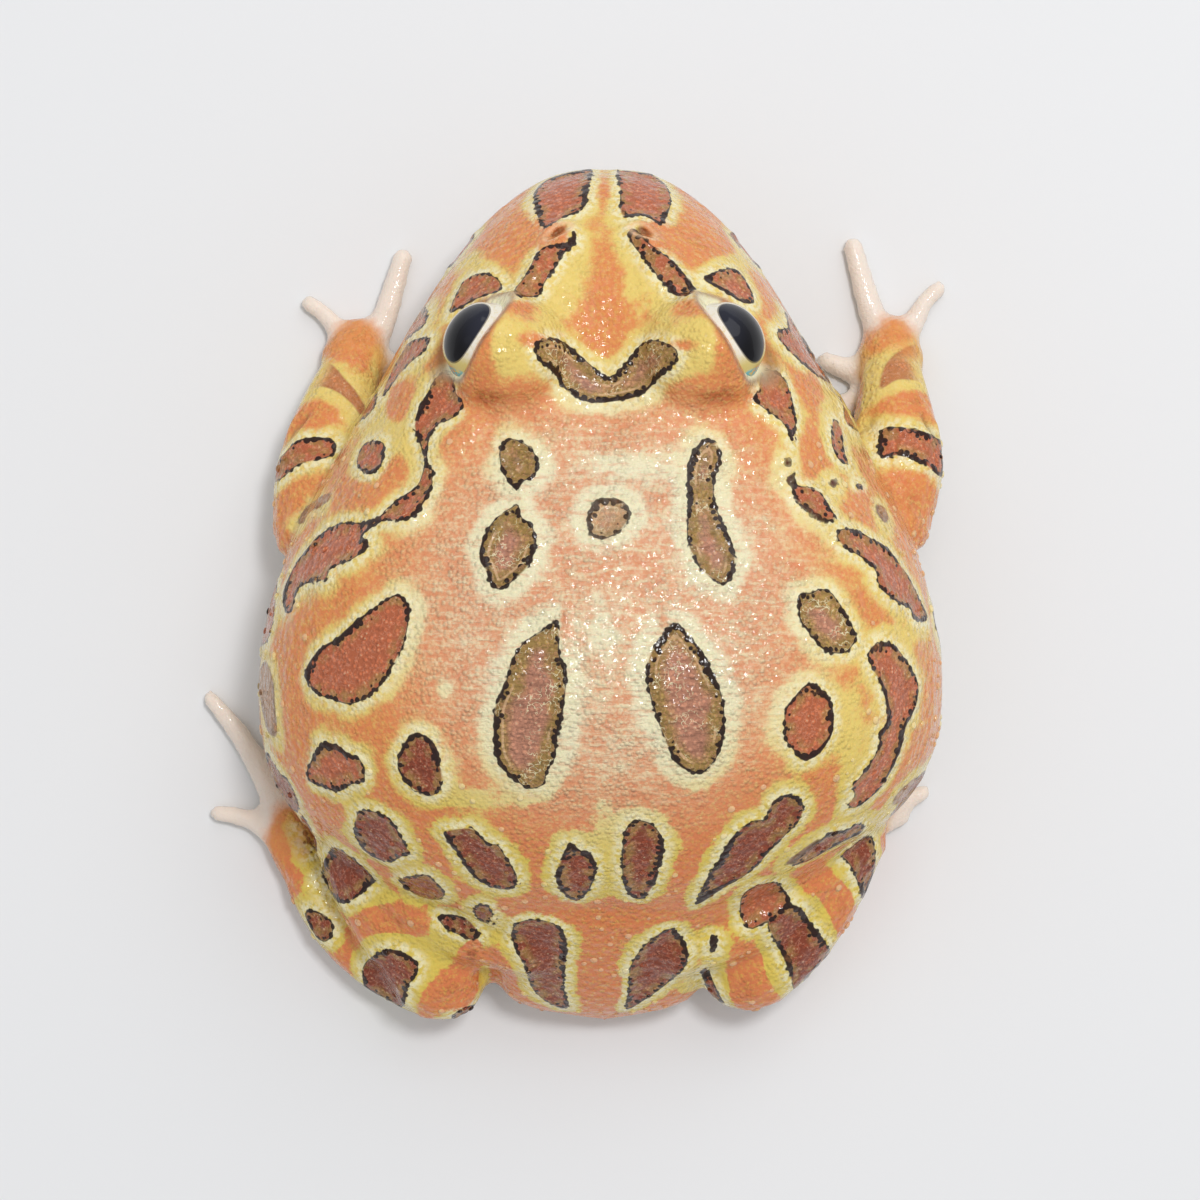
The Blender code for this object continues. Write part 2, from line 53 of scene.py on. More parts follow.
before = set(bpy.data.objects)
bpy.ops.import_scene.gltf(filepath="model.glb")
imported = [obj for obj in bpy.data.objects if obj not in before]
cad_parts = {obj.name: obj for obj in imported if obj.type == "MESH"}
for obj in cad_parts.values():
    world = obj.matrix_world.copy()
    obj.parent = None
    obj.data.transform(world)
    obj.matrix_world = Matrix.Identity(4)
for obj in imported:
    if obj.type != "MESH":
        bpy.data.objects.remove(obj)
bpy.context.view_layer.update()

MM = 0.001
TINY = 1e-9
WELD = 1e-6  # corners closer than this are one corner
EYES = ("eye_left", "eye_right")
FLESH = sorted(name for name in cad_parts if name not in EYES)
SKIN_NAME = "frog_skin"
EYE_BOXES = {name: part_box(name) for name in EYES}
EYE_CENTRES = {name: (low + high) / 2 for name, (low, high) in EYE_BOXES.items()}
EYE_RADIUS = (EYE_BOXES[EYES[0]][1].x - EYE_BOXES[EYES[0]][0].x) / 2
EYE_SEGMENTS, EYE_RINGS = 96, 64

# Where each eye looks
LOOK_FORWARD = math.radians(33)
LOOK_UP = math.radians(30)

# Half sizes of the lids' opening and of the pupil, in degrees as seen from the eye's centre
OPEN_ALONG = 66.0
OPEN_ABOVE = 45.0
OPEN_BELOW = 48.0
ALMOND = 2.2  # 2 for an oval opening, more for a boxier one
PUPIL_ALONG = 45.0
PUPIL_HIGH = 27.0
PUPIL_RAISED = 12.0  # how far the pupil's middle lies above the opening's
CORNERS = (50.0, 62.0)  # where the pale corners of the opening begin, and where they are palest

# The lids, in millimetres out from the edge of their opening
LID_RISES = (-0.45, 0.95)
LID_RIDGE, LID_RIDGE_WIDTH = 1.0, 0.5
LID_FADES = (2.5, 4.0)
LID_SMOOTHED = 0.8  # skin farther out than this is smoothed once more
# LID_LINE is the dark line of painted shade along the lids
LID_LINE, LID_LINE_WIDTH = 0.66, 0.22
LID_WARM = (0.4, 1.2)
CORNER_FADES = (0.3, 1.0)
CORNEA_RISES = (-2.2, -0.6)

# Heights over the eyeball's surface
CORNEA_HEIGHT = 0.28 * MM
SOCKET_DEPTH = 0.7 * MM  # how far under it the skin inside the opening lies
LID_RIDGE_HEIGHT = 0.12 * MM
LID_COLOUR_REACH = 3 * MM
LID_REACH = 5 * MM  # skin farther away isn't part of the lids

# Smoothing takes a step in and then one a little further out, as shares of the way
SMOOTHING_STEPS = (0.5, -0.53)

# How far round lids, nostrils and mouth each splitting of faces reaches
REFINED = (1.4 * MM, 0.7 * MM)

# The lips and the line between them, by heights in millimetres above the line
GROOVE_WIDTH = 0.45
# width of the painted shade along the mouth's line
GROOVE_COLOUR_WIDTH = 0.36
UPPER_LIP, UPPER_LIP_WIDTH = 1.5, 0.8
LOWER_LIP, LOWER_LIP_WIDTH, LOWER_LIP_SHARE = -1.3, 0.7, 0.7
CHIN_FADES = (0.0, -0.8)  # where the blotches fade below the line
MOUTH_ENDS = (-7 * MM, -3 * MM)  # where the line fades, from the back of the lower jaw
LIP_SLOPE = (0.2, 0.6)  # how steep the skin has to be

# The view from straight above: how the picture's pixels lie on the frog
PICTURE_SIZE = 1200
PICTURE_MIDDLE = PICTURE_SIZE / 2
MIDLINE_PIXEL = 604  # the frog's middle line
PIXEL_SIZE = 0.118 * MM  # at the height below
PIXEL_HEIGHT = 25 * MM
CAMERA_HEIGHT = 620 * MM
EYES_PIXEL_Y = 348  # the level of the eyes' centres
SENSOR_WIDTH = 36.0
FAR_AWAY = 200.0 * MM  # where rays from the side start


def pixel_size(height):
    """Width of a pixel at a height above the floor."""
    return PIXEL_SIZE * (CAMERA_HEIGHT - height) / (CAMERA_HEIGHT - PIXEL_HEIGHT)


EYE_LEVEL = (EYE_CENTRES["eye_left"] + EYE_CENTRES["eye_right"]) / 2
BEHIND_EYES = (PICTURE_MIDDLE - EYES_PIXEL_Y) * pixel_size(EYE_LEVEL.z)
ORIGIN = Vector((EYE_LEVEL.x, EYE_LEVEL.y + BEHIND_EYES, 0))  # level with the picture's middle
CAMERA = ORIGIN + Vector(((MIDLINE_PIXEL - PICTURE_MIDDLE) * PIXEL_SIZE, 0, CAMERA_HEIGHT))

# Where each nostril opens in the picture, and how it slants: inwards and forwards
NOSTRILS = ((558, 234), (643, 234))
NOSTRIL_SLANT = (0.66, -0.75)
NOSTRIL_HALF_WIDTH = 1.2  # millimetres
NOSTRIL_STRETCH = 1.8
NOSTRIL_REACH = 3.0  # millimetres

# Parts of a nostril, as shares of its half width: their middles and widths
PIT_WIDTH = 0.5
# the pit is darkened with painted shade inside each nostril
PIT_COLOURED = (0.3, 0.62)
PIT_DARKNESS = 0.7
RING, RING_WIDTH = 1.05, 0.36
RING_COLOUR, RING_COLOUR_WIDTH = 0.82, 0.18
RING_HEIGHT = 0.3 * MM

# How far upwards the skin has to face to carry folds, and to be pale
FOLD_SLOPE = (-0.1, 0.3)
PALE_SLOPE = (0.3, 0.8)

# Folds of the skin: height in millimetres, half width in pixels, and the line's points in the picture
FOLDS = {
    "snout_ridge_left": (0.45, 9, (513, 300), (535, 275), (556, 250), (566, 232)),
    "snout_ridge_right": (0.45, 9, (694, 298), (672, 272), (652, 248), (641, 231)),
    "brow_left": (-0.5, 9, (520, 300), (545, 322), (552, 335)),
    "brow_right": (-0.5, 9, (688, 300), (664, 320), (656, 334)),
    "side_ridge_left": (
        0.35, 12, (466, 398), (470, 425), (440, 455),
        (436, 490), (405, 522), (350, 565), (300, 625),
    ),
    "side_ridge_right": (
        0.35, 12, (745, 396), (775, 420), (790, 450),
        (802, 490), (836, 528), (880, 580), (915, 640),
    ),
    "side_furrow_left": (
        -0.35, 12, (448, 392), (430, 420), (420, 455),
        (418, 480), (385, 512), (320, 535),
    ),
    "jaw_ridge_left": (0.45, 9, (372, 402), (352, 430), (322, 468), (300, 505), (284, 545)),
    "jaw_ridge_right": (0.45, 9, (838, 398), (860, 430), (884, 470), (902, 500), (922, 545)),
    "oval_crease_left": (0.3, 4, (565, 604), (566, 640), (563, 690), (559, 740)),
    "back_crease_left": (0.3, 4, (520, 482), (523, 505), (532, 530)),
    "oval_crease_right": (0.3, 4, (662, 612), (672, 628)),
    "smile_edge": (0.25, 4, (548, 345), (580, 362), (600, 378), (622, 372)),
    "lid_furrow_left": (-0.25, 5, (480, 396), (500, 402), (520, 398)),
    "lid_furrow_right": (-0.25, 5, (690, 396), (712, 402), (730, 394)),
    "hip_furrow_left": (-0.4, 12, (430, 905), (480, 945), (500, 985)),
    "hip_furrow_right": (-0.4, 12, (770, 905), (715, 940), (700, 975)),
    "shank_ridge_left": (0.35, 5, (262, 832), (300, 884), (340, 924), (372, 956)),
    "thigh_furrow_right": (-0.3, 5, (690, 920), (745, 898), (800, 870), (845, 850), (880, 836)),
    "thigh_furrow_left": (-0.3, 5, (285, 780), (302, 815), (345, 846), (398, 880), (432, 915)),
}

# Blotches: tone, and the outline's points in the picture
BLOTCHES = {
    "snout_left": (
        "terracotta", (534, 196), (545, 182), (570, 173), (593, 170), (589, 190), (585, 209),
        (561, 220), (544, 229), (536, 214),
    ),
    "snout_right": (
        "terracotta", (617, 169), (640, 171), (662, 182), (671, 198), (669, 214), (660, 226),
        (644, 217), (621, 217), (619, 192),
    ),
    "nostril_streak_left": (
        "terracotta", (573, 231), (577, 238), (574, 247), (565, 254), (560, 263), (553, 274),
        (546, 283), (539, 297), (520, 298), (513, 292), (523, 279), (530, 267), (536, 255), (546, 246),
        (558, 244), (567, 241),
    ),
    "nostril_streak_right": (
        "terracotta", (629, 230), (628, 238), (633, 247), (641, 257), (649, 267), (657, 278),
        (666, 288), (675, 297), (691, 296), (695, 289), (687, 278), (679, 268), (671, 260), (662, 253),
        (654, 246), (647, 240), (640, 234), (634, 229),
    ),
    "eye_front_left": (
        "terracotta", (450, 314), (456, 296), (466, 280), (484, 273), (500, 280), (501, 291),
        (480, 299), (462, 309),
    ),
    "eye_front_right": (
        "terracotta", (702, 280), (714, 272), (734, 269), (747, 284), (754, 303), (742, 304),
        (724, 293),
    ),
    "cheek_left": (
        "terracotta", (412, 341), (431, 338), (425, 352), (406, 369), (384, 397), (390, 377),
        (400, 358),
    ),
    "cheek_right": (
        "terracotta", (775, 333), (791, 328), (804, 340), (818, 358), (831, 383), (818, 378),
        (790, 354),
    ),
    "smile": (
        "olive", (534, 343), (536, 358), (553, 374), (563, 389), (580, 401), (603, 404), (640, 397),
        (658, 381), (677, 362), (677, 348), (657, 340), (640, 345), (628, 359), (611, 376), (595, 368),
        (578, 353), (560, 340), (546, 338),
    ),
    "chain_left": (
        "terracotta", (438, 376), (428, 392), (419, 407), (414, 425), (416, 436), (422, 451),
        (424, 466), (419, 484), (416, 494), (424, 496), (433, 482), (435, 470), (429, 463), (431, 439),
        (441, 425), (454, 419), (465, 404), (457, 392), (453, 372),
    ),
    "flank_band_left": (
        "terracotta", (424, 476), (415, 488), (397, 500), (380, 516), (363, 522), (346, 522),
        (332, 527), (319, 536), (307, 550), (296, 564), (287, 583), (283, 599), (287, 614), (293, 611),
        (298, 592), (307, 585), (318, 583), (329, 580), (331, 570), (354, 560), (371, 547), (369, 541),
        (364, 536), (382, 523), (394, 522), (407, 521), (419, 514), (424, 505), (430, 496), (434, 482),
    ),
    "head_side_left": (
        "terracotta", (357, 462), (362, 448), (371, 441), (384, 442), (386, 451), (382, 467),
        (369, 476), (360, 470),
    ),
    "shoulder_left": (
        "plum", (297, 523), (304, 509), (318, 498), (329, 492), (332, 498), (323, 506), (309, 514),
        (303, 525),
    ),
    "leaf_left": (
        "terracotta", (305, 675), (310, 661), (323, 646), (338, 637), (355, 621), (373, 608),
        (391, 596), (401, 594), (411, 607), (410, 621), (405, 645), (394, 667), (382, 686), (366, 699),
        (350, 705), (332, 700), (318, 695), (309, 685),
    ),
    "edge_left": (
        "plum", (266, 660), (274, 680), (276, 708), (278, 736), (268, 732), (261, 703), (259, 675),
    ),
    "flank_left_a": (
        "terracotta", (307, 770), (312, 758), (318, 747), (325, 741), (340, 745), (350, 753),
        (359, 756), (365, 767), (365, 781), (351, 785), (340, 792), (326, 788), (310, 781),
    ),
    "flank_left_b": (
        "russet", (397, 764), (400, 751), (409, 735), (420, 732), (432, 739), (439, 751), (441, 762),
        (444, 780), (437, 794), (426, 795), (410, 787), (401, 776),
    ),
    "flank_left_c": (
        "russet", (357, 812), (370, 809), (389, 816), (398, 828), (404, 839), (410, 853), (401, 857),
        (390, 862), (368, 853), (355, 834),
    ),
    "rear_left_a": (
        "russet", (443, 831), (457, 827), (473, 827), (481, 834), (489, 842), (499, 844), (507, 856),
        (513, 865), (518, 876), (515, 887), (496, 888), (473, 876), (457, 853), (448, 842),
    ),
    "rear_left_b": (
        "russet", (398, 878), (409, 875), (426, 873), (437, 881), (446, 892), (440, 899), (421, 896),
        (407, 888),
    ),
    "rear_left_dot": ("russet", (473, 909), (481, 902), (490, 906), (494, 914), (491, 923), (480, 920)),
    "hip_left": (
        "russet", (437, 916), (447, 913), (461, 915), (473, 922), (481, 935), (474, 940), (458, 935),
        (444, 928),
    ),
    "back_left_upper": (
        "olive", (499, 449), (507, 439), (517, 439), (527, 444), (535, 452), (539, 464), (535, 477),
        (524, 483), (520, 492), (514, 490), (506, 480), (500, 467),
    ),
    "back_left_lower": (
        "olive", (513, 506), (519, 503), (523, 517), (532, 524), (537, 539), (535, 555), (527, 570),
        (516, 580), (501, 591), (490, 585), (485, 571), (479, 561), (480, 545), (488, 527), (500, 514),
    ),
    "back_ring": (
        "faint", (597, 499), (622, 500), (631, 514), (622, 531), (605, 540), (590, 536), (586, 518),
    ),
    "back_right": (
        "olive", (706, 438), (718, 444), (722, 459), (716, 478), (715, 499), (722, 520), (732, 541),
        (736, 560), (733, 576), (724, 586), (707, 577), (693, 561), (686, 538), (687, 504), (686, 470),
        (692, 451),
    ),
    "oval_left": (
        "olive", (493, 718), (495, 703), (506, 677), (511, 660), (523, 642), (541, 630), (556, 620),
        (560, 628), (561, 655), (568, 671), (566, 695), (563, 718), (558, 739), (556, 758), (548, 771),
        (545, 784), (532, 789), (518, 783), (504, 771), (494, 752),
    ),
    "oval_right": (
        "olive", (675, 621), (690, 636), (703, 651), (712, 670), (721, 690), (725, 712), (724, 740),
        (715, 761), (699, 774), (677, 765), (665, 744), (655, 715), (646, 683), (648, 656), (660, 637),
    ),
    "right_a": (
        "olive", (797, 595), (802, 592), (811, 592), (819, 588), (831, 592), (840, 604), (847, 616),
        (856, 634), (855, 642), (846, 653), (831, 654), (819, 648), (808, 634), (799, 622), (797, 610),
    ),
    "right_b": (
        "terracotta", (802, 686), (811, 682), (822, 689), (831, 701), (834, 716), (833, 731),
        (828, 742), (818, 755), (802, 761), (791, 749), (784, 739), (783, 722), (784, 707), (790, 700),
    ),
    "band_right": (
        "terracotta", (866, 655), (872, 645), (881, 641), (893, 644), (903, 656), (913, 672),
        (918, 687), (916, 702), (911, 717), (905, 726), (903, 740), (898, 755), (890, 772), (881, 786),
        (869, 798), (853, 808), (846, 803), (853, 796), (851, 785), (858, 777), (866, 766), (874, 754),
        (878, 742), (878, 731), (885, 722), (884, 701), (880, 687), (871, 669),
    ),
    "chain_right": (
        "terracotta", (750, 398), (757, 389), (759, 376), (764, 369), (774, 371), (784, 379),
        (790, 392), (794, 408), (796, 423), (794, 436), (792, 446), (787, 432), (781, 423), (772, 416),
        (761, 408),
    ),
    "chain_right_dot_a": ("russet", (785, 461), (790, 459), (792, 465), (788, 468)),
    "chain_right_dot_b": ("russet", (785, 477), (792, 478), (792, 485), (787, 485)),
    "chain_right_low": (
        "terracotta", (793, 470), (797, 484), (808, 487), (819, 492), (828, 505), (836, 520),
        (821, 523), (816, 518), (810, 512), (803, 510), (796, 503), (792, 494), (790, 484),
    ),
    "flank_band_right": (
        "terracotta", (836, 540), (836, 532), (843, 528), (858, 531), (872, 539), (887, 548),
        (896, 560), (905, 572), (914, 589), (925, 612), (926, 622), (914, 621), (909, 610), (903, 607),
        (893, 601), (881, 591), (876, 582), (874, 571), (858, 557), (844, 549),
    ),
    "side_right": (
        "terracotta", (832, 419), (841, 429), (844, 453), (850, 466), (838, 461), (830, 443),
    ),
    "side_right_dot": ("russet", (856, 483), (862, 485), (862, 489), (856, 489)),
    "shoulder_right": ("plum", (875, 504), (884, 507), (889, 520), (884, 524), (876, 513)),
    "rear_right_long": (
        "russet", (695, 904), (699, 892), (707, 875), (717, 860), (722, 850), (732, 835), (747, 822),
        (759, 818), (765, 819), (766, 811), (771, 802), (782, 794), (795, 794), (804, 805), (802, 815),
        (795, 825), (782, 838), (770, 850), (760, 862), (745, 875), (722, 888), (705, 900),
    ),
    "rear_right_low": (
        "russet", (790, 865), (802, 852), (815, 842), (830, 831), (847, 828), (857, 822), (864, 825),
        (860, 833), (845, 840), (830, 848), (812, 858), (800, 863),
    ),
    "edge_right": ("plum", (916, 776), (917, 785), (904, 798), (892, 806), (896, 794)),
    "centre_left": (
        "russet", (570, 841), (581, 849), (592, 852), (597, 870), (589, 891), (576, 900), (562, 892),
        (555, 877), (560, 858),
    ),
    "centre_right": (
        "russet", (629, 822), (642, 819), (656, 826), (665, 843), (661, 866), (655, 884), (643, 898),
        (630, 895), (622, 880), (622, 840),
    ),
    "rump_left": (
        "russet", (511, 934), (516, 922), (534, 918), (556, 923), (567, 937), (567, 962), (565, 985),
        (569, 1007), (550, 1003), (532, 988), (525, 967), (516, 951),
    ),
    "rump_right": (
        "russet", (672, 927), (684, 939), (689, 953), (684, 968), (671, 980), (654, 993), (626, 1009),
        (628, 985), (629, 967), (640, 948), (656, 934),
    ),
    "hip_right": ("russet", (709, 936), (717, 937), (716, 950), (711, 957)),
    "heel_right": ("russet", (700, 972), (708, 968), (716, 984), (726, 1006), (714, 999)),
    "leg_right_a": (
        "terracotta", (739, 912), (740, 897), (748, 888), (760, 883), (776, 881), (784, 888),
        (790, 899), (788, 909), (778, 916), (764, 924), (750, 930), (743, 924),
    ),
    "leg_right_b": (
        "russet", (766, 922), (775, 909), (788, 903), (801, 907), (809, 919), (819, 932), (829, 948),
        (827, 962), (818, 980), (810, 996), (797, 1007), (792, 990), (787, 970), (779, 950),
        (771, 936),
    ),
    "leg_right_c": (
        "russet", (840, 855), (852, 845), (865, 835), (872, 838), (875, 855), (874, 868), (868, 885),
        (861, 899), (857, 885), (852, 872), (846, 862),
    ),
    "leg_left_a": (
        "russet", (322, 876), (326, 856), (334, 846), (348, 853), (362, 864), (376, 880), (368, 889),
        (351, 902), (340, 903), (331, 892),
    ),
    "leg_left_b": (
        "russet", (362, 970), (371, 956), (390, 948), (407, 953), (418, 962), (418, 973), (409, 987),
        (404, 1006), (384, 1009), (368, 995),
    ),
    "tarsus_left": ("russet", (305, 912), (318, 910), (334, 923), (332, 937), (325, 942), (315, 934)),
    "heel_left": ("russet", (451, 1015), (462, 1007), (475, 1003), (468, 1011), (455, 1019)),
    "shank_edge_left": ("russet", (301, 815), (309, 823), (318, 842), (316, 853), (305, 842)),
    "arm_left_a": (
        "band", (299, 401), (306, 383), (316, 367), (326, 361), (336, 366), (346, 378), (356, 389),
        (366, 406), (360, 416), (350, 404), (336, 393), (320, 388), (308, 393),
    ),
    "arm_left_c": (
        "terracotta", (287, 451), (301, 439), (323, 437), (336, 442), (334, 456), (315, 462),
        (298, 467), (276, 484), (278, 464),
    ),
    "arm_right_a": (
        "band", (877, 390), (882, 368), (893, 354), (908, 345), (922, 344), (930, 358), (936, 376),
        (941, 392), (930, 388), (915, 382), (898, 381), (886, 388),
    ),
    "arm_right_c": (
        "terracotta", (881, 430), (902, 427), (928, 433), (945, 448), (943, 479), (924, 466),
        (900, 457), (879, 458),
    ),
    "shoulder_line_right": (
        "line", (794, 486), (800, 497), (812, 510), (823, 522), (820, 525), (808, 514), (797, 502),
        (791, 490),
    ),
    "snout_streak_right": (
        "line", (731, 230), (737, 238), (743, 247), (740, 249), (734, 242), (729, 234),
    ),
    "edge_low_right": ("plum", (786, 861), (800, 850), (818, 838), (812, 848), (796, 860), (786, 866)),
    "dot_right_a": ("line", (785, 458), (790, 458), (792, 463), (789, 468), (784, 466)),
    "dot_right_b": ("line", (786, 476), (791, 476), (793, 482), (789, 486), (785, 483)),
    "dot_right_c": ("line", (829, 480), (835, 479), (838, 484), (834, 489), (829, 487)),
}

# Spots where the view from above doesn't reach: the side, then y, z and the half sizes along and up
# in millimetres, and the tone
SIDE_SPOTS = (
    (1, -42.0, 13.5, 3.0, 2.6, "terracotta"),
    (1, -33.0, 19.5, 2.4, 4.2, "terracotta"),
    (1, -23.0, 18.0, 2.6, 4.2, "terracotta"),
    (1, 2.0, 17.0, 4.2, 4.8, "terracotta"),
    (1, 13.0, 9.0, 3.4, 3.0, "terracotta"),
    (1, 22.0, 19.0, 4.0, 3.4, "russet"),
    (-1, -42.0, 13.5, 3.0, 2.6, "terracotta"),
    (-1, -32.0, 19.0, 2.6, 4.2, "terracotta"),
    (-1, -22.0, 17.5, 2.4, 4.0, "terracotta"),
    (-1, 3.0, 14.0, 3.8, 4.4, "terracotta"),
    (-1, 16.0, 9.5, 4.0, 3.2, "terracotta"),
    (-1, 23.0, 18.0, 3.4, 3.0, "russet"),
)
OVAL_POINTS = 24
OVAL_WOBBLE = 0.12  # of the half sizes

# Patches between the blotches: x, y, half width and half height in the picture, and how much warmer;
# warmth past about 1.5 turns into umber painted shade, such as behind the lids, at the smile's ends and
# at the knee
PATCHES = {
    "snout_ridge": (604, 320, 26, 42, 0.7),
    "snout_tip": (604, 190, 6, 24, 0.6),
    "snout_stripe": (604, 235, 9, 50, -0.2),
    "snout_side_left": (575, 275, 16, 50, -0.9),
    "snout_side_right": (633, 275, 16, 50, -0.9),
    "nostril_left": (555, 236, 15, 14, 1.7),
    "nostril_right": (652, 236, 15, 14, 1.7),
    "smile_end_left": (530, 340, 15, 9, 1.7),
    "smile_end_right": (686, 346, 15, 9, 1.7),
    "cheek_left": (508, 236, 26, 20, 1.0),
    "cheek_right": (697, 240, 30, 20, 1.0),
    "jaw_left": (478, 222, 12, 14, -0.5),
    "jaw_low_left": (470, 262, 26, 14, -0.9),
    "jaw_low_right": (738, 262, 26, 14, -0.9),
    "lid_left": (508, 345, 22, 34, -1.2),
    "lid_right": (698, 345, 22, 34, -1.2),
    "lid_margin_left": (484, 345, 9, 44, 0.6),
    "lid_margin_right": (724, 345, 9, 44, 0.6),
    "lid_front_left": (522, 306, 14, 8, 1.0),
    "lid_front_right": (688, 306, 14, 8, 1.0),
    "lid_rear_left": (490, 398, 34, 12, 1.8),
    "lid_rear_right": (716, 396, 32, 12, 1.8),
    "brow_left": (548, 312, 16, 16, -0.7),
    "brow_right": (660, 312, 16, 16, -0.7),
    "smile_edge": (604, 366, 30, 10, -1.0),
    "neck_left": (470, 440, 22, 26, 0.7),
    "neck_right": (748, 440, 22, 30, 0.7),
    "nape": (604, 425, 66, 16, 0.4),
    "nape_band": (640, 465, 70, 14, -0.7),
    "shoulder_left": (455, 500, 20, 22, 0.5),
    "middle": (604, 565, 50, 24, 0.5),
    "middle_band": (604, 620, 20, 40, -0.5),
    "between_ovals": (604, 690, 26, 60, -0.15),
    "centre_stripe": (604, 860, 10, 60, -0.8),
    "rump": (604, 985, 22, 22, 0.9),
    "back_left_upper": (455, 560, 24, 50, 0.5),
    "back_left": (450, 700, 22, 50, 0.5),
    "back_left_spot": (447, 690, 11, 12, -1.2),
    "back_right": (760, 610, 26, 50, 0.4),
    "face_yellow_left": (394, 434, 34, 44, -1.3),
    "face_yellow_right": (836, 400, 26, 50, -0.9),
    "face_left": (398, 403, 12, 22, 2.0),
    "face_right": (812, 385, 15, 16, 1.3),
    "face_mid_right": (812, 450, 12, 26, 1.0),
    "face_low_left": (394, 468, 12, 18, 1.8),
    "side_left": (350, 492, 28, 12, 1.2),
    "side_right": (862, 500, 12, 14, 0.9),
    "flank_left": (292, 660, 10, 50, 0.9),
    "flank_right": (850, 735, 15, 44, -1.1),
    "flank_high_right": (898, 640, 22, 16, -1.0),
    "flank_low_right": (866, 824, 26, 12, -1.1),
    "flank_low_left": (300, 760, 12, 30, 0.8),
    "crease_left": (566, 630, 5, 28, 1.1),
    "crease_right": (664, 622, 6, 14, 1.1),
    "rear_band": (600, 910, 110, 12, 0.7),
    "rear_stripe_left": (470, 800, 40, 10, -0.7),
    "arm_left": (312, 416, 18, 9, 1.2),
    "arm_low_left": (292, 500, 12, 12, 1.2),
    "hand_left": (332, 345, 20, 16, 1.0),
    "hand_pale_left": (380, 362, 10, 20, -1.0),
    "hand_pale_right": (858, 362, 10, 20, -1.0),
    "arm_right": (912, 402, 18, 9, 1.2),
    "arm_low_right": (912, 500, 18, 22, 1.3),
    "hand_right": (895, 330, 20, 16, 1.0),
    "thigh_left": (398, 922, 34, 9, 1.2),
    "thigh_band_left": (366, 896, 30, 8, -1.2),
    "shin_band_left": (390, 941, 24, 7, -1.2),
    "knee_band_left": (436, 955, 22, 22, -1.0),
    "knee_left": (453, 990, 18, 20, 1.3),
    "knee_shade_left": (472, 954, 8, 12, 2.4),
    "knee_edge_left": (484, 976, 6, 12, -1.2),
    "foot_left": (270, 850, 14, 20, 0.6),
    "thigh_right": (842, 904, 11, 22, 1.2),
    "thigh_band_right": (850, 868, 10, 16, -1.2),
    "shin_band_right": (816, 918, 10, 16, -1.2),
    "knee_band_right": (772, 960, 12, 24, -1.2),
    "knee_right": (750, 984, 16, 26, 1.3),
    "knee_edge_right": (720, 985, 8, 20, -1.2),
}

# The pale, pink upper back in the picture: middle, half width and half height, and where it fades
PALE_BACK = (608, 610, 202, 204)
PALE_FADES = (0.65, 1.3)

# How each tone looks: its share of each of these parts
TONE_PARTS = ("olive", "dark", "plum", "painted", "rimmed")
TONES = {
    "terracotta": (0.0, 0.15, 0.0, 1.0, 1.0),
    "russet": (0.0, 0.9, 0.0, 1.0, 1.0),
    "olive": (1.0, 0.1, 0.0, 1.0, 1.0),
    "plum": (0.0, 0.4, 0.7, 0.8, 0.35),
    "band": (0.0, 0.1, 0.0, 0.85, 0.1),
    "line": (0.0, 1.0, 0.0, 1.0, 0.6),
    "faint": (0.6, 0.0, 0.0, 0.8, 0.9),
}
FAR_FROM_MARKS = 8.0  # millimetres, the distance kept where no blotch is near
HALO_ENDS = (0.3, 2.9)  # millimetres from a blotch
FIELD_WARMTH = 0.85

# Relief of a blotch: the raised rim and the sunk inside, in millimetres from its outline
RIM_MIDDLE, RIM_WIDTH = -0.3, 0.6
INSIDE_SINKS = (-0.6, -1.6)
INSIDE_DEPTH = 0.5  # of the rim's height

# Where the field grows redder in the picture, from the lower back on
REAR = (700, 860)

# The pale underside: how steeply its skin faces down, and below which heights it lies
BELLY_SLOPE = (0.1, 0.75)
BELLY_HEIGHT = (9 * MM, 14 * MM)

# Warts start behind the head, where the skin slopes
WARTS_START = EYE_LEVEL.y + 6 * MM
WARTS_FULL = EYE_LEVEL.y + 16 * MM
WARTY_SLOPE = (0.08, 0.5)
WART_FLATNESS = 0.5
SMALLEST_WART = 0.4  # of the largest one's radius

PALM_SHARE = 0.25  # how far hands and feet take on the colour of their digits
DIGIT_SOFTENING = 8  # rounds

# The skin's patterns: how often they repeat in a metre
GRAINS = 1700
BEADS = 1250
PORES = 1500
PEBBLES = 700
WET_FILM = 900
CLOUDS = 300
WRINKLES = (420, 1900, 600)  # across, along and up

# Relief of the skin and of the wet film on it
SKIN_RELIEF = 0.33 * MM
FILM_RELIEF = 0.14 * MM

# Lights: place and side in metres, and the setting that holds the power
LIGHTS = {
    "key_light": ((-0.35, -0.75, 0.85), 0.8, "key_power"),
    "fill_light": ((0.3, 0.1, 1.3), 1.2, "fill_power"),
    "glint_light": ((-0.24, -0.26, 1.1), 0.2, "glint_power"),
}
LIT_HEIGHT = 0.02  # the lights face the frog's middle at this height
NEAREST_SEEN = 0.01


def srgb(red, green, blue):
    """A screen colour from 0 to 255 as the linear values that materials take."""
    shares = (v / 255 for v in (red, green, blue))
    return tuple(s / 12.92 if s <= 0.04045 else ((s + 0.055) / 1.055) ** 2.4 for s in shares)


def smoothstep(low, high, values):
    """0 below low, 1 above high, and a smooth step between."""
    t = np.clip((values - low) / (high - low), 0, 1)
    return t * t * (3 - 2 * t)


def hump(values, middle, width):
    """1 at the middle, falling smoothly away on both sides."""
    return np.exp(-(((values - middle) / width) ** 2))


def length(name, description, size):
    """A setting for a length."""
    return bpy.props.FloatProperty(name=name, description=description, default=size, unit="LENGTH")


def power(name, description, watts):
    """A setting for a light's power."""
    return bpy.props.FloatProperty(name=name, description=description, default=watts, unit="POWER")


def colour(name, description, *shades):
    """A setting for a colour, given as red, green and blue from 0 to 255."""
    return bpy.props.FloatVectorProperty(
        name=name, description=description, default=srgb(*shades), subtype="COLOR"
    )


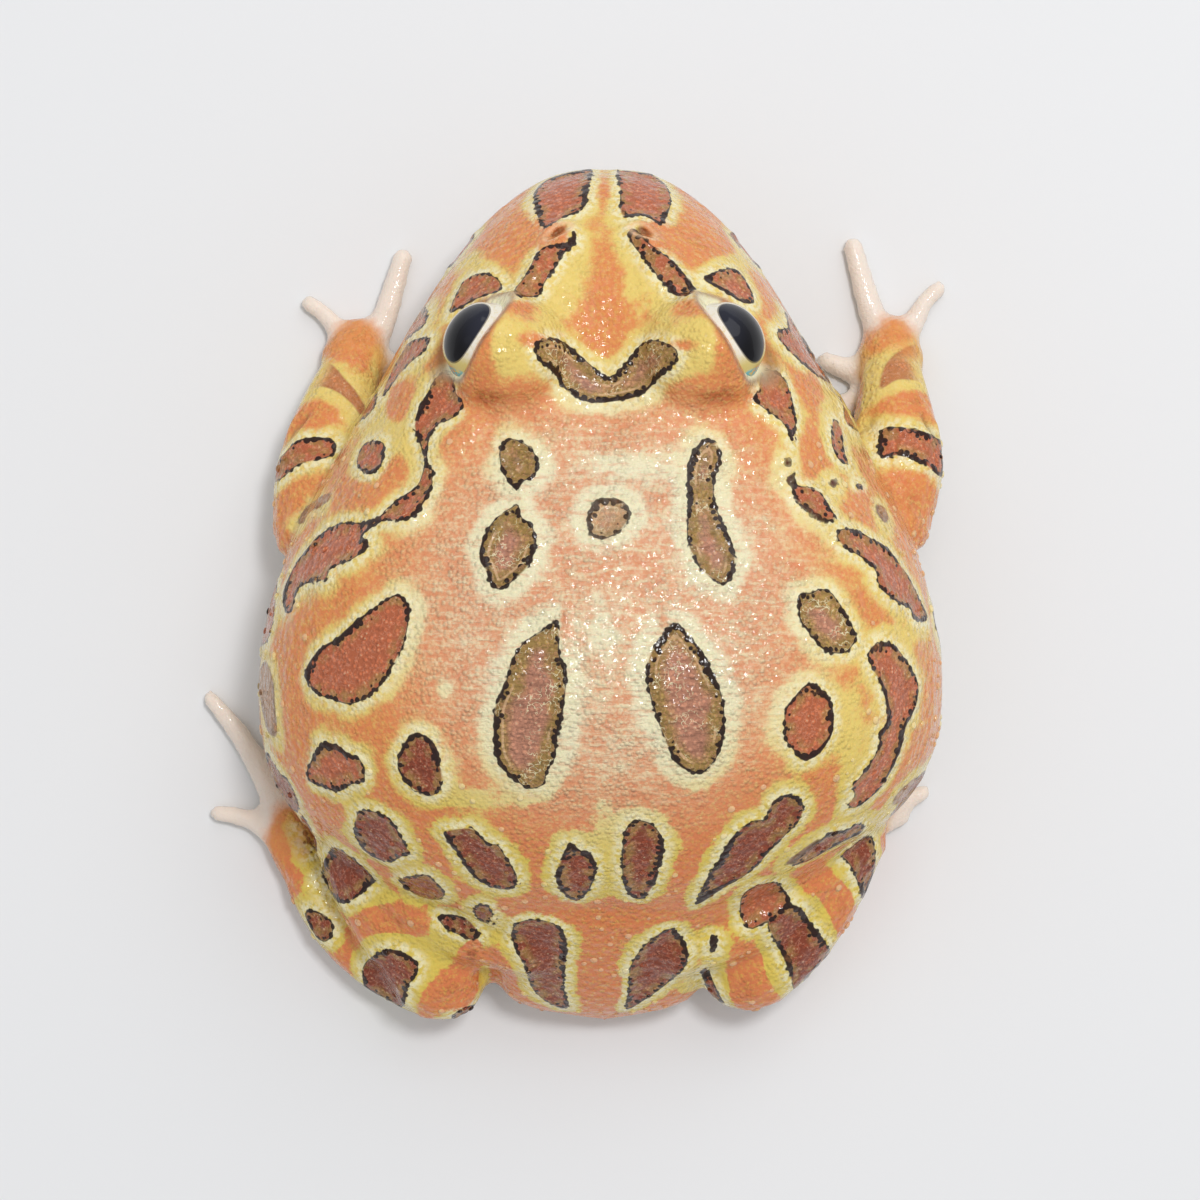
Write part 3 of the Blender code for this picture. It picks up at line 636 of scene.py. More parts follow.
class FrogSkin(bpy.types.PropertyGroup):
    """Sizes of the skin's surface."""

    voxel: length("Surface Step", "Spacing of the skin's vertices", 0.62 * MM)
    bridge: length("Bridge", "Swelling that closes the gaps between the solids", 0.22 * MM)
    smoothing: bpy.props.IntProperty(
        name="Smoothing", description="Rounds of smoothing", default=14, min=0
    )
    lid_thickness: length("Lid Thickness", "Least thickness of the lids", 0.6 * MM)
    lip_depth: length("Lip Depth", "Depth of the line of the mouth", 0.8 * MM)
    nostril_depth: length("Nostril Depth", "Depth of each nostril", 1.1 * MM)
    rim_height: length("Rim Height", "How far the rims of blotches stand out", 0.16 * MM)
    wart_density: bpy.props.FloatProperty(
        name="Wart Density",
        description="Warts on a square metre of rough flank",
        default=90000.0,
        min=0,
    )
    wart_radius: length("Wart Radius", "Radius of the largest wart", 0.52 * MM)
    seed: bpy.props.IntProperty(name="Seed", description="Number that places the warts", default=7)


class FrogColours(bpy.types.PropertyGroup):
    """Colours of skin and eyes."""

    cream: colour("Cream", "Halo on the upper back", 246, 237, 200)
    yellow: colour("Yellow", "Halo on head and flanks", 234, 206, 116)
    # blush also paints the highlight along a ridge inside the back's blotches
    blush: colour("Blush", "Field on the upper back", 242, 199, 156)
    orange: colour("Orange", "Field on head and flanks", 228, 150, 84)
    ember: colour("Ember", "Field on the rear and the hind legs", 224, 136, 80)
    lemon: colour("Lemon", "Halo on the rear and the hind legs", 226, 200, 92)
    # terracotta also paints the shade in the furrows of the back's wrinkles
    terracotta: colour("Terracotta", "Inside of most blotches", 224, 126, 84)
    russet: colour("Russet", "Inside of the rear blotches", 150, 68, 44)
    olive: colour("Olive", "Edge of the back's blotches", 190, 154, 86)
    rose: colour("Rose", "Middle of the back's blotches", 220, 154, 126)
    plum: colour("Plum", "Blotches low on the flanks", 158, 112, 104)
    rim: colour("Rim", "Beaded rim round each blotch", 38, 18, 16)
    digit: colour("Digit", "Fingers and toes", 244, 232, 220)
    belly: colour("Belly", "Underside", 236, 224, 204)
    # ivory also paints highlights on the back's wrinkles and in the blotches' thin wet lines
    ivory: colour("Ivory", "Halo next to a rim", 246, 238, 196)
    # also paints highlights on the grains' tops inside blotches
    wart: colour("Wart", "Tops of the warts", 240, 222, 180)
    # painted shade where the patches push the warmth past 1.5, such as behind the lids and at the
    # smile's ends, and the pores' own colour
    shade_and_pore_umber: colour("Umber", "Shaded folds and pores", 160, 88, 50)
    # painted shade along the mouth's line, in the nostrils' pits and on the lids' dark line
    crease_shade: colour("Crease", "Line of the mouth, and the nostrils", 92, 46, 34)
    pupil: colour("Pupil", "Middle of the eye", 9, 9, 15)
    # painted reflection that greys the pupil towards its front and top
    painted_sheen: colour("Sheen", "Front of the pupil", 38, 40, 52)
    iris: colour("Iris", "Band round the pupil", 236, 232, 220)
    gold: colour("Gold", "Flecks and back of the iris", 214, 194, 104)
    fleck: colour("Fleck", "Back corner of the eye", 120, 188, 190)


class FrogStage(bpy.types.PropertyGroup):
    """The studio."""

    floor_size: length("Floor Size", "Side of the floor", 3.0)
    floor_colour: colour("Floor Colour", "Pale floor", 232, 233, 235)
    key_power: power("Key Power", "Main light", 2.6)
    fill_power: power("Fill Power", "Light from above", 0.65)
    glint_power: power("Glint Power", "Small light that makes the wet skin sparkle", 4.7)
    sky: bpy.props.FloatProperty(
        name="Sky", description="Strength of the even light", default=0.54, min=0
    )


def picture_ray(x, y):
    """Direction from the camera through a point of the picture."""
    reach = CAMERA_HEIGHT - PIXEL_HEIGHT
    across = (PICTURE_MIDDLE - x) * PIXEL_SIZE
    along = (y - PICTURE_MIDDLE) * PIXEL_SIZE
    return Vector((across, along, -reach)).normalized()


def in_picture(places):
    """Where points fall in the picture."""
    size = pixel_size(places[:, 2])
    across, along = places[:, 0] - CAMERA.x, places[:, 1] - CAMERA.y
    return PICTURE_MIDDLE - across / size, PICTURE_MIDDLE + along / size


def closed_curve(points, steps=5):
    """A smooth closed curve through the points."""
    rows = np.array(points, float)
    before, after, beyond = np.roll(rows, 1, 0), np.roll(rows, -1, 0), np.roll(rows, -2, 0)
    found = []
    for t in np.arange(steps) / steps:
        straight = 2 * rows + (after - before) * t
        bend = (2 * before - 5 * rows + 4 * after - beyond) * t**2
        twist = (3 * rows - before - 3 * after + beyond) * t**3
        found.append(0.5 * (straight + bend + twist))
    return np.stack(found, 1).reshape(-1, 2)


def vertex_array(mesh, field="co"):
    """Places or normals of a mesh's vertices."""
    found = np.empty(len(mesh.vertices) * 3)
    mesh.vertices.foreach_get(field, found)
    return found.reshape(-1, 3)


def set_vertices(mesh, places):
    """Moves a mesh's vertices."""
    mesh.vertices.foreach_set("co", places.ravel())
    mesh.update()


def edge_array(mesh):
    """Vertex pairs of a mesh's edges."""
    found = np.empty(len(mesh.edges) * 2, np.int64)
    mesh.edges.foreach_get("vertices", found)
    return found.reshape(-1, 2)


def neighbour_mean(values, edges):
    """Mean of each vertex's neighbours."""
    count = len(values)
    columns = values.reshape(count, -1)
    total = np.empty_like(columns)
    for k, column in enumerate(columns.T):
        total[:, k] = np.bincount(edges[:, 0], column[edges[:, 1]], count)
        total[:, k] += np.bincount(edges[:, 1], column[edges[:, 0]], count)
    links = np.bincount(edges.ravel(), minlength=count)
    return (total / links[:, None]).reshape(values.shape)


def smooth_mesh(mesh, rounds, share=None):
    """Smooths without shrinking."""
    places, edges = vertex_array(mesh), edge_array(mesh)
    weight = 1.0 if share is None else share[:, None]
    for _ in range(rounds):
        for step in SMOOTHING_STEPS:
            places = places + weight * step * (neighbour_mean(places, edges) - places)
    set_vertices(mesh, places)


def spread(values, edges, rounds):
    """Softens a value over the surface."""
    for _ in range(rounds):
        values = neighbour_mean(values, edges)
    return values


def keep_value(mesh, name, values):
    """Stores a number on each vertex."""
    attribute = mesh.attributes.new(name, "FLOAT", "POINT")
    attribute.data.foreach_set("value", np.asarray(values, np.float32))


def mesh_from(bm, name):
    """A new mesh from an edited one, which is freed."""
    mesh = bpy.data.meshes.new(name)
    bm.to_mesh(mesh)
    bm.free()
    return mesh


def evaluated_mesh(obj):
    """The mesh that an object's modifiers make."""
    bpy.context.view_layer.update()
    return bpy.data.meshes.new_from_object(obj.evaluated_get(bpy.context.evaluated_depsgraph_get()))


def linked_object(name, data):
    """A new object in the scene."""
    made = bpy.data.objects.new(name, data)
    bpy.context.scene.collection.objects.link(made)
    return made


def eye_axes(name):
    """Directions out of an eye through the middle of its lids, back along them, and up."""
    side = math.copysign(1.0, EYE_CENTRES[name].x - ORIGIN.x)
    flat = math.cos(LOOK_UP)
    sideways, forward = flat * math.cos(LOOK_FORWARD), flat * math.sin(LOOK_FORWARD)
    out = Vector((side * sideways, -forward, math.sin(LOOK_UP)))
    back = Vector((0, 0, 1)).cross(out).normalized() * side
    return out, back, out.cross(back) * side


def eye_angles(name, places):
    """Degrees back and up from the middle of the lids' opening, and the distance from the centre."""
    offset = places - np.array(EYE_CENTRES[name])
    radius = np.linalg.norm(offset, axis=1)
    out, back, up = (offset @ np.array(axis) / radius for axis in eye_axes(name))
    away = np.degrees(np.arccos(np.clip(out, -1, 1)))
    flat = np.hypot(back, up) + TINY
    return away * back / flat, away * up / flat, radius


def beyond_lids(back, up):
    """How far outside the lids' opening a direction points, in millimetres round the eye."""
    back = back + TINY
    high = np.where(up > 0, OPEN_ABOVE, OPEN_BELOW)
    share = (np.abs(back / OPEN_ALONG) ** ALMOND + np.abs(up / high) ** ALMOND) ** (1 / ALMOND)
    return np.radians(np.hypot(back, up) * (1 - 1 / share)) * EYE_RADIUS / MM


def swollen_head_and_body(bridge):
    """All the solids in one mesh, swollen until their gaps close."""
    bm = bmesh.new()
    for name in (*FLESH, *EYES):
        piece = bmesh.new()
        piece.from_mesh(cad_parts[name].data)
        bmesh.ops.remove_doubles(piece, verts=piece.verts, dist=WELD)
        piece.normal_update()
        for vert in piece.verts:
            vert.co += vert.normal * bridge
        holder = mesh_from(piece, "piece")
        bm.from_mesh(holder)
        bpy.data.meshes.remove(holder)
    return mesh_from(bm, SKIN_NAME)


def mouth_heights():
    """Height of the mouth's line along the head, read off the lower jaw's upper face."""
    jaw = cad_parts["lower_jaw"].data
    places, normals = vertex_array(jaw), vertex_array(jaw, "normal")
    upper = places[normals[:, 2] > 0.9]
    upper = upper[np.argsort(upper[:, 1])]
    return upper[:, 1], upper[:, 2]


def mouth_line(places, normals):
    """How far above the mouth's line each vertex lies, in millimetres, and its share in the lips."""
    along, heights = mouth_heights()
    above = (places[:, 2] - np.interp(places[:, 1], along, heights)) / MM
    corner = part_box("lower_jaw")[1].y
    share = 1 - smoothstep(corner + MOUTH_ENDS[0], corner + MOUTH_ENDS[1], places[:, 1])
    return above, share * smoothstep(*LIP_SLOPE, 1 - np.abs(normals[:, 2]))


def nostril_places(tree):
    """Where each nostril opens on the skin, with the skin's normal there."""
    return [tree.ray_cast(CAMERA, picture_ray(x, y))[:2] for x, y in NOSTRILS]


def near_details(mesh, tree, reach):
    """True for each vertex within reach of an eye's lids, a nostril or the line of the mouth."""
    places, normals = vertex_array(mesh), vertex_array(mesh, "normal")
    above, share = mouth_line(places, normals)
    found = (np.abs(above) * MM < reach) & (share > 0.3)
    for name in EYES:
        back, up, radius = eye_angles(name, places)
        found |= (np.abs(beyond_lids(back, up)) * MM < reach) & (radius < EYE_RADIUS + LID_REACH)
    for place, _ in nostril_places(tree):
        found |= np.linalg.norm(places - np.array(place), axis=1) < 1.5 * reach
    return found


def refine(mesh, chosen):
    """Splits the faces round the chosen vertices, for finer detail."""
    edges = edge_array(mesh)
    picked = np.flatnonzero(chosen[edges].all(1))
    bm = bmesh.new()
    bm.from_mesh(mesh)
    bm.edges.ensure_lookup_table()
    bmesh.ops.subdivide_edges(bm, edges=[bm.edges[k] for k in picked], cuts=1, use_grid_fill=True)
    bmesh.ops.triangulate(bm, faces=[face for face in bm.faces if len(face.verts) > 4])
    bm.to_mesh(mesh)
    bm.free()


def grown_skin(sizes):
    """One closed skin over all the flesh, with the eyeballs bulging under it."""
    rough = linked_object("rough_skin", swollen_head_and_body(sizes.bridge))
    remesh = rough.modifiers.new("voxels", "REMESH")
    remesh.mode = "VOXEL"
    remesh.voxel_size = sizes.voxel
    mesh = evaluated_mesh(rough)
    bpy.data.objects.remove(rough)
    smooth_mesh(mesh, sizes.smoothing)
    tree = tree_of(mesh)
    for reach in REFINED:
        refine(mesh, near_details(mesh, tree, reach))
        smooth_mesh(mesh, 3)
    set_vertices(mesh, vertex_array(mesh) - vertex_array(mesh, "normal") * sizes.bridge)
    return mesh


def shape_lids(mesh, thickness):
    """Wraps the lids round each eyeball, and sinks the skin inside their opening behind the ball."""
    places = vertex_array(mesh)
    nearby = np.zeros(len(places))
    for name in EYES:
        centre = np.array(EYE_CENTRES[name])
        back, up, radius = eye_angles(name, places)
        gap = beyond_lids(back, up)
        sunk = EYE_RADIUS - SOCKET_DEPTH
        outer = np.maximum(radius, EYE_RADIUS + thickness)
        wanted = sunk + (outer - sunk) * smoothstep(*LID_RISES, gap)
        wanted += LID_RIDGE_HEIGHT * hump(gap, LID_RIDGE, LID_RIDGE_WIDTH)
        share = (1 - smoothstep(*LID_FADES, gap)) * (radius < EYE_RADIUS + LID_REACH)
        reached = radius + (wanted - radius) * share
        places = centre + (places - centre) * (reached / radius)[:, None]
        nearby = np.maximum(nearby, share * (gap > LID_SMOOTHED))
    set_vertices(mesh, places)
    smooth_mesh(mesh, 4, nearby)


def carve_nostrils(mesh, tree, depth):
    """Sinks each nostril and raises a soft ring; returns each vertex's share in the pit's painted shade
    and in the ring.
    """
    places, normals = vertex_array(mesh), vertex_array(mesh, "normal")
    inside, round_it = np.zeros(len(places)), np.zeros(len(places))
    inwards, forwards = NOSTRIL_SLANT
    for place, normal in nostril_places(tree):
        along = Vector((math.copysign(inwards, ORIGIN.x - place.x), forwards, 0.0))
        along = (along - normal * along.dot(normal)).normalized()
        offset = (places - np.array(place)) / MM
        long, flat = offset @ np.array(along), offset @ np.array(normal.cross(along))
        away = np.hypot(long / NOSTRIL_STRETCH, flat) / NOSTRIL_HALF_WIDTH
        close = np.linalg.norm(offset, axis=1) < NOSTRIL_REACH
        pit, ring = hump(away, 0, PIT_WIDTH) * close, hump(away, RING, RING_WIDTH) * close
        places += normals * (ring * RING_HEIGHT)[:, None] - np.outer(pit, (0, 0, depth))
        inside = np.maximum(inside, PIT_DARKNESS * (1 - smoothstep(*PIT_COLOURED, away)) * close)
        round_it = np.maximum(round_it, hump(away, RING_COLOUR, RING_COLOUR_WIDTH) * close)
    set_vertices(mesh, places)
    return inside, round_it


def carve_mouth(mesh, depth):
    """Sinks the line of the mouth and rounds the lips; returns how much painted shade each vertex gets
    along the line.
    """
    places, normals = vertex_array(mesh), vertex_array(mesh, "normal")
    above, share = mouth_line(places, normals)
    groove = -depth * hump(above, 0, GROOVE_WIDTH)
    lower = LOWER_LIP_SHARE * hump(above, LOWER_LIP, LOWER_LIP_WIDTH)
    lips = 0.5 * depth * (hump(above, UPPER_LIP, UPPER_LIP_WIDTH) + lower)
    set_vertices(mesh, places + normals * ((groove + lips) * share)[:, None])
    return hump(above, 0, GROOVE_COLOUR_WIDTH) * share


def carve_folds(mesh):
    """Raises and sinks the soft folds of the skin along their lines."""
    places, normals = vertex_array(mesh), vertex_array(mesh, "normal")
    x, y = in_picture(places)
    upwards = smoothstep(*FOLD_SLOPE, normals[:, 2])
    lift = np.zeros(len(places))
    for height, width, *line in FOLDS.values():
        starts, ends = np.array(line[:-1], float), np.array(line[1:], float)
        away = np.full(len(places), np.inf)
        for start, end in zip(starts, ends):
            run = end - start
            t = np.clip(((x - start[0]) * run[0] + (y - start[1]) * run[1]) / (run @ run), 0, 1)
            away = np.minimum(away, np.hypot(x - start[0] - t * run[0], y - start[1] - t * run[1]))
        lift += height * MM * hump(away, 0, width) * upwards
    set_vertices(mesh, places + normals * lift[:, None])


def tree_of(mesh):
    """A search tree over a mesh's faces."""
    bm = bmesh.new()
    bm.from_mesh(mesh)
    found = BVHTree.FromBMesh(bm)
    bm.free()
    return found


def on_skin(tree, x, y, towards):
    """The skin seen at a point of the picture, or nearer the outline's middle where that misses."""
    for share in np.linspace(0, 0.5, 13):
        ray = picture_ray(x + (towards[0] - x) * share, y + (towards[1] - y) * share)
        place, normal, _, _ = tree.ray_cast(CAMERA, ray)
        if place:
            return place, normal
    return None


def outline_on_skin(tree, points):
    """An outline's points laid on the skin, with the skin's normals there."""
    curve = closed_curve(points)
    towards = curve.mean(0)
    hits = [on_skin(tree, x, y, towards) for x, y in curve]
    hits = [hit for hit in hits if hit]
    return np.array([hit[0] for hit in hits]), np.array([hit[1] for hit in hits])


def signed_distance(points, outline):
    """Distance from flat points to a closed outline, less than 0 inside it."""
    starts, ends = outline, np.roll(outline, -1, 0)
    best = np.full(len(points), np.inf)
    inside = np.zeros(len(points), bool)
    for (x0, y0), (x1, y1) in zip(starts, ends):
        run, rise = x1 - x0, y1 - y0
        forward = (points[:, 0] - x0) * run + (points[:, 1] - y0) * rise
        t = np.clip(forward / (run**2 + rise**2 + TINY**2), 0, 1)
        away = np.hypot(points[:, 0] - x0 - t * run, points[:, 1] - y0 - t * rise)
        best = np.minimum(best, away)
        if y0 != y1:
            crosses = (y0 > points[:, 1]) != (y1 > points[:, 1])
            inside ^= crosses & (points[:, 0] < x0 + (points[:, 1] - y0) * run / rise)
    return np.where(inside, -best, best)


class Marks:
    """The blotches' distance and tone on every vertex of the skin."""

    def __init__(self, mesh):
        self.places = vertex_array(mesh)
        self.normals = vertex_array(mesh, "normal")
        self.distance = np.full(len(self.places), FAR_FROM_MARKS)
        self.tones = np.zeros((len(self.places), len(TONE_PARTS)))

    def add(self, outline, normals, tone):
        """Lays one blotch, flattened onto the skin's own slope."""
        centre, out = outline.mean(0), normals.mean(0)
        out /= np.linalg.norm(out)
        side = np.cross(out, (0.0, 1.0, 0.0))
        side /= np.linalg.norm(side)
        up = np.cross(out, side)
        offset = self.places - centre
        far = FAR_FROM_MARKS * MM
        near = np.linalg.norm(offset, axis=1) < np.linalg.norm(outline - centre, axis=1).max() + far
        near &= (np.abs(offset @ out) < far) & (self.normals @ out > 0.1)
        chosen = np.flatnonzero(near)
        flat = np.stack([offset[chosen] @ side, offset[chosen] @ up], 1)
        drawn = np.stack([(outline - centre) @ side, (outline - centre) @ up], 1)
        found = signed_distance(flat, drawn) / MM
        closer = found < self.distance[chosen]
        self.distance[chosen[closer]] = found[closer]
        self.tones[chosen[closer]] = TONES[tone]


def oval(centre, normal, along, up):
    """An uneven oval outline on the skin's slope."""
    out = np.array(normal)
    flat = np.cross((0.0, 0.0, 1.0), out)
    flat /= np.linalg.norm(flat)
    rise = np.cross(out, flat)
    turns = np.linspace(0, 2 * math.pi, OVAL_POINTS, endpoint=False)[:, None]
    wobble = 1 + OVAL_WOBBLE * np.sin(3 * turns + along / MM)
    return np.array(centre) + wobble * (np.cos(turns) * flat * along + np.sin(turns) * rise * up)


def mark_skin(mesh, tree):
    """Lays all the blotches on the skin."""
    marks = Marks(mesh)
    for tone, *points in BLOTCHES.values():
        marks.add(*outline_on_skin(tree, points), tone)
    for side, y, z, along, up, tone in SIDE_SPOTS:
        start = Vector((ORIGIN.x + side * FAR_AWAY, ORIGIN.y + y * MM, z * MM))
        place, normal, _, _ = tree.ray_cast(start, Vector((-side, 0, 0)))
        outline = oval(place, normal, along * MM, up * MM)
        marks.add(outline, np.repeat([np.array(normal)], len(outline), 0), tone)
    return marks


def warmth_of(places, normals, distance):
    """How orange the skin is between the blotches: 0 in a halo, 1 in the open field, and past 1.5
    painted umber shade.
    """
    x, y = in_picture(places)
    warmth = smoothstep(*HALO_ENDS, distance) * FIELD_WARMTH
    facing = np.clip(normals[:, 2] * 3, 0, 1)
    for middle_x, middle_y, wide, high, amount in PATCHES.values():
        warmth += amount * hump(x, middle_x, wide) * hump(y, middle_y, high) * facing
    return warmth


def paleness_of(places, normals):
    """How pale and pink the skin is: most on the upper back."""
    x, y = in_picture(places)
    middle_x, middle_y, wide, high = PALE_BACK
    away = np.hypot((x - middle_x) / wide, (y - middle_y) / high)
    return (1 - smoothstep(*PALE_FADES, away)) * smoothstep(*PALE_SLOPE, normals[:, 2])


def digit_share(mesh, edges):
    """How much each vertex belongs to a finger or a toe."""
    corners = [(vert.co.copy(), name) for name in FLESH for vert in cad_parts[name].data.vertices]
    tree = KDTree(len(corners))
    for index, (place, _) in enumerate(corners):
        tree.insert(place, index)
    tree.balance()
    share = np.zeros(len(mesh.vertices))
    for vert in mesh.vertices:
        name = corners[tree.find(vert.co)[1]][1]
        if name.startswith(("finger", "toe")):
            share[vert.index] = 1.0
        elif name.startswith(("hand", "foot")):
            share[vert.index] = PALM_SHARE
    return spread(share, edges, DIGIT_SOFTENING)


def lid_shares(places):
    """How much each vertex belongs to the lids' warm edge, to its dark line of painted shade, and to
    the corners.
    """
    edge, line, corner = (np.zeros(len(places)) for _ in range(3))
    for name in EYES:
        back, up, radius = eye_angles(name, places)
        gap = beyond_lids(back, up)
        close = radius < EYE_RADIUS + LID_COLOUR_REACH
        pale = smoothstep(*CORNERS, np.abs(back)) * (1 - smoothstep(*CORNER_FADES, gap))
        edge = np.maximum(edge, (1 - smoothstep(*LID_WARM, gap)) * close)
        line = np.maximum(line, hump(gap, LID_LINE, LID_LINE_WIDTH) * close)
        corner = np.maximum(corner, pale * close)
    return edge, line, corner


def store_marks(mesh, tree, crease_shade):
    """Keeps what the skin's material reads on the vertices, and returns the marks."""
    edges = edge_array(mesh)
    marks = mark_skin(mesh, tree)
    places, normals = marks.places, marks.normals
    above, share = mouth_line(places, normals)
    tones = neighbour_mean(marks.tones, edges) * (1 - smoothstep(*CHIN_FADES, above) * share)[:, None]
    belly = smoothstep(*BELLY_SLOPE, -normals[:, 2]) * (1 - smoothstep(*BELLY_HEIGHT, places[:, 2]))
    sloping = smoothstep(*WARTY_SLOPE, 1 - normals[:, 2]) * (1 - belly)
    sloping *= smoothstep(WARTS_START, WARTS_FULL, places[:, 1])
    digits = digit_share(mesh, edges)
    lids, line, corners = lid_shares(places)
    bare = (1 - np.clip(digits * 4, 0, 1)) * (1 - np.clip(lids * 2, 0, 1))
    kept = {
        **dict(zip(TONE_PARTS, tones.T)),
        "mark": marks.distance,
        "warmth": warmth_of(places, normals, marks.distance),
        "paleness": paleness_of(places, normals),
        "rear": smoothstep(*REAR, in_picture(places)[1]),
        "digit": digits,
        "belly": belly,
        "lid": lids,
        "corner": corners,
        # painted shade along the mouth's line, in the nostrils' pits and on the lids' dark line
        "groove": np.maximum(crease_shade, 0.6 * line),
        "rough": sloping * bare,
    }
    for name, values in kept.items():
        keep_value(mesh, name, values)
    return marks


def feed(tree, socket, value):
    """Links a node's socket, or sets its value."""
    if isinstance(value, bpy.types.NodeSocket):
        tree.links.new(value, socket)
    elif socket.type == "RGBA" and len(value) == 3:
        socket.default_value = (*value, 1.0)
    else:
        socket.default_value = value


def new_node(tree, kind, **inputs):
    """A new node, with a link or a value for each of these inputs."""
    node = tree.nodes.new(kind)
    for name, value in inputs.items():
        feed(tree, node.inputs[name], value)
    return node


def combined(tree, operation, first, second):
    """One sum of two numbers."""
    node = new_node(tree, "ShaderNodeMath")
    node.operation = operation
    feed(tree, node.inputs[0], first)
    feed(tree, node.inputs[1], second)
    return node.outputs[0]


class Shader:
    """Short words for building a material's nodes."""

    def __init__(self, name):
        self.material = bpy.data.materials.new(name)
        self.material.use_nodes = True
        self.tree = self.material.node_tree
        self.surface = self.tree.nodes["Principled BSDF"]
        self.place = self.node("TexCoord").outputs["Object"]

    def node(self, kind, **inputs):
        """A new node of the material."""
        return new_node(self.tree, f"ShaderNode{kind}", **inputs)

    def attribute(self, name):
        """A number kept on the mesh."""
        node = self.node("Attribute")
        node.attribute_name = name
        return node.outputs["Fac"]

    def maths(self, operation, first, second=0.0):
        """One sum of two numbers."""
        return combined(self.tree, operation, first, second)

    def times(self, *values):
        """Numbers multiplied."""
        found = values[0]
        for value in values[1:]:
            found = self.maths("MULTIPLY", found, value)
        return found

    def swing(self, value, amount):
        """A value about 0.5 turned into one about 0, this far each way."""
        return self.times(self.maths("SUBTRACT", value, 0.5), 2 * amount)

    def step(self, value, low, high, start=0.0, end=1.0):
        """A smooth step from start to end."""
        node = self.node("MapRange")
        node.interpolation_type = "SMOOTHSTEP"
        for socket, number in zip(node.inputs[:5], (value, low, high, start, end)):
            feed(self.tree, socket, number)
        return node.outputs[0]

    def mix(self, share, first, second):
        """Two colours mixed."""
        node = self.node("Mix", Factor=share)
        node.data_type = "RGBA"
        for socket, shade in zip(node.inputs[6:8], (first, second)):  # the sockets for colours
            feed(self.tree, socket, shade)
        return node.outputs[2]

    def line(self, value, middle, width):
        """1 where the value is close to its middle, 0 elsewhere."""
        away = self.maths("ABSOLUTE", self.maths("SUBTRACT", value, middle))
        return self.step(away, 0.4 * width, width, 1.0, 0.0)

    def stretched(self, scale):
        """The place, stretched along each axis."""
        return self.node("Mapping", Vector=self.place, Scale=scale).outputs[0]

    def noise(self, scale, detail=2.0, rough=0.5, place=None):
        """Cloudy noise, about 0.5 in the middle."""
        values = {"Vector": place or self.place, "Scale": scale, "Detail": detail, "Roughness": rough}
        return self.node("TexNoise", **values).outputs["Fac"]

    def grains(self, scale):
        """Round grains side by side: 1 in the middle of each, 0 between them."""
        cells = self.node("TexVoronoi", Vector=self.place, Scale=scale)
        return self.step(cells.outputs["Distance"], 0.0, 0.75, 1.0, 0.0)

    def bump(self, name, height, distance):
        """Small relief on the surface or on its coat."""
        relief = self.node("Bump", Height=height, Distance=distance)
        feed(self.tree, self.surface.inputs[name], relief.outputs[0])

    def set(self, **values):
        """Sets the surface's own sockets."""
        for name, value in values.items():
            feed(self.tree, self.surface.inputs[name.replace("_", " ")], value)


def field_colour(s, colours, folds):
    """The skin between the blotches: pale halos that melt into warm, cloudy fields, painted umber
    shade, painted highlights and shade on the back's wrinkles, and warts.
    """
    pale = s.attribute("paleness")
    warmth = s.attribute("warmth")
    clouds = s.swing(s.noise(CLOUDS, 6, 0.75), 1.0)
    rear = s.attribute("rear")
    crisp = s.times(rear, 0.25)
    warm = s.maths("SUBTRACT", s.maths("ADD", warmth, clouds), s.times(pale, 0.12))
    warm = s.step(warm, s.maths("ADD", crisp, 0.12), s.maths("SUBTRACT", 0.88, crisp))
    halo = s.mix(pale, s.mix(rear, colours.yellow, colours.lemon), colours.cream)
    edge = s.times(s.step(s.attribute("mark"), 0.3, 1.6, 0.85, 0.0), s.attribute("rimmed"))
    halo = s.mix(s.times(edge, s.step(s.noise(1500, 3), 0.35, 0.6)), halo, colours.ivory)
    field = s.mix(rear, colours.orange, colours.ember)
    base = s.mix(warm, halo, s.mix(pale, field, colours.blush))
    deeper = s.times(s.step(s.noise(900, 6, 0.8), 0.48, 0.68), warm, 0.6)
    base = s.mix(deeper, base, s.mix(pale, colours.terracotta, colours.rose))
    # painted shade: umber where the patches push the warmth past 1.5
    base = s.mix(s.step(warmth, 1.5, 2.8, 0.0, 0.8), base, colours.shade_and_pore_umber)
    between = s.step(s.grains(GRAINS), 0.15, 0.55, 0.5, 0.0)
    base = s.mix(s.times(between, warm), base, colours.terracotta)
    lighter = s.times(s.step(s.noise(1500, 5, 0.8), 0.48, 0.66), 0.5)
    base = s.mix(lighter, base, halo)
    # painted highlight on the crests of the back's wrinkles, and painted shade in their furrows
    base = s.mix(s.times(s.step(folds, 0.5, 0.64), pale, 0.5), base, colours.ivory)
    base = s.mix(s.times(s.step(folds, 0.5, 0.34), pale, 0.4), base, colours.terracotta)
    pores = s.times(s.step(s.grains(PORES), 0.93, 0.97), s.step(s.noise(350), 0.5, 0.6), 0.4)
    base = s.mix(pores, base, colours.shade_and_pore_umber)
    return s.mix(s.times(s.attribute("wart"), 0.4), base, colours.wart)


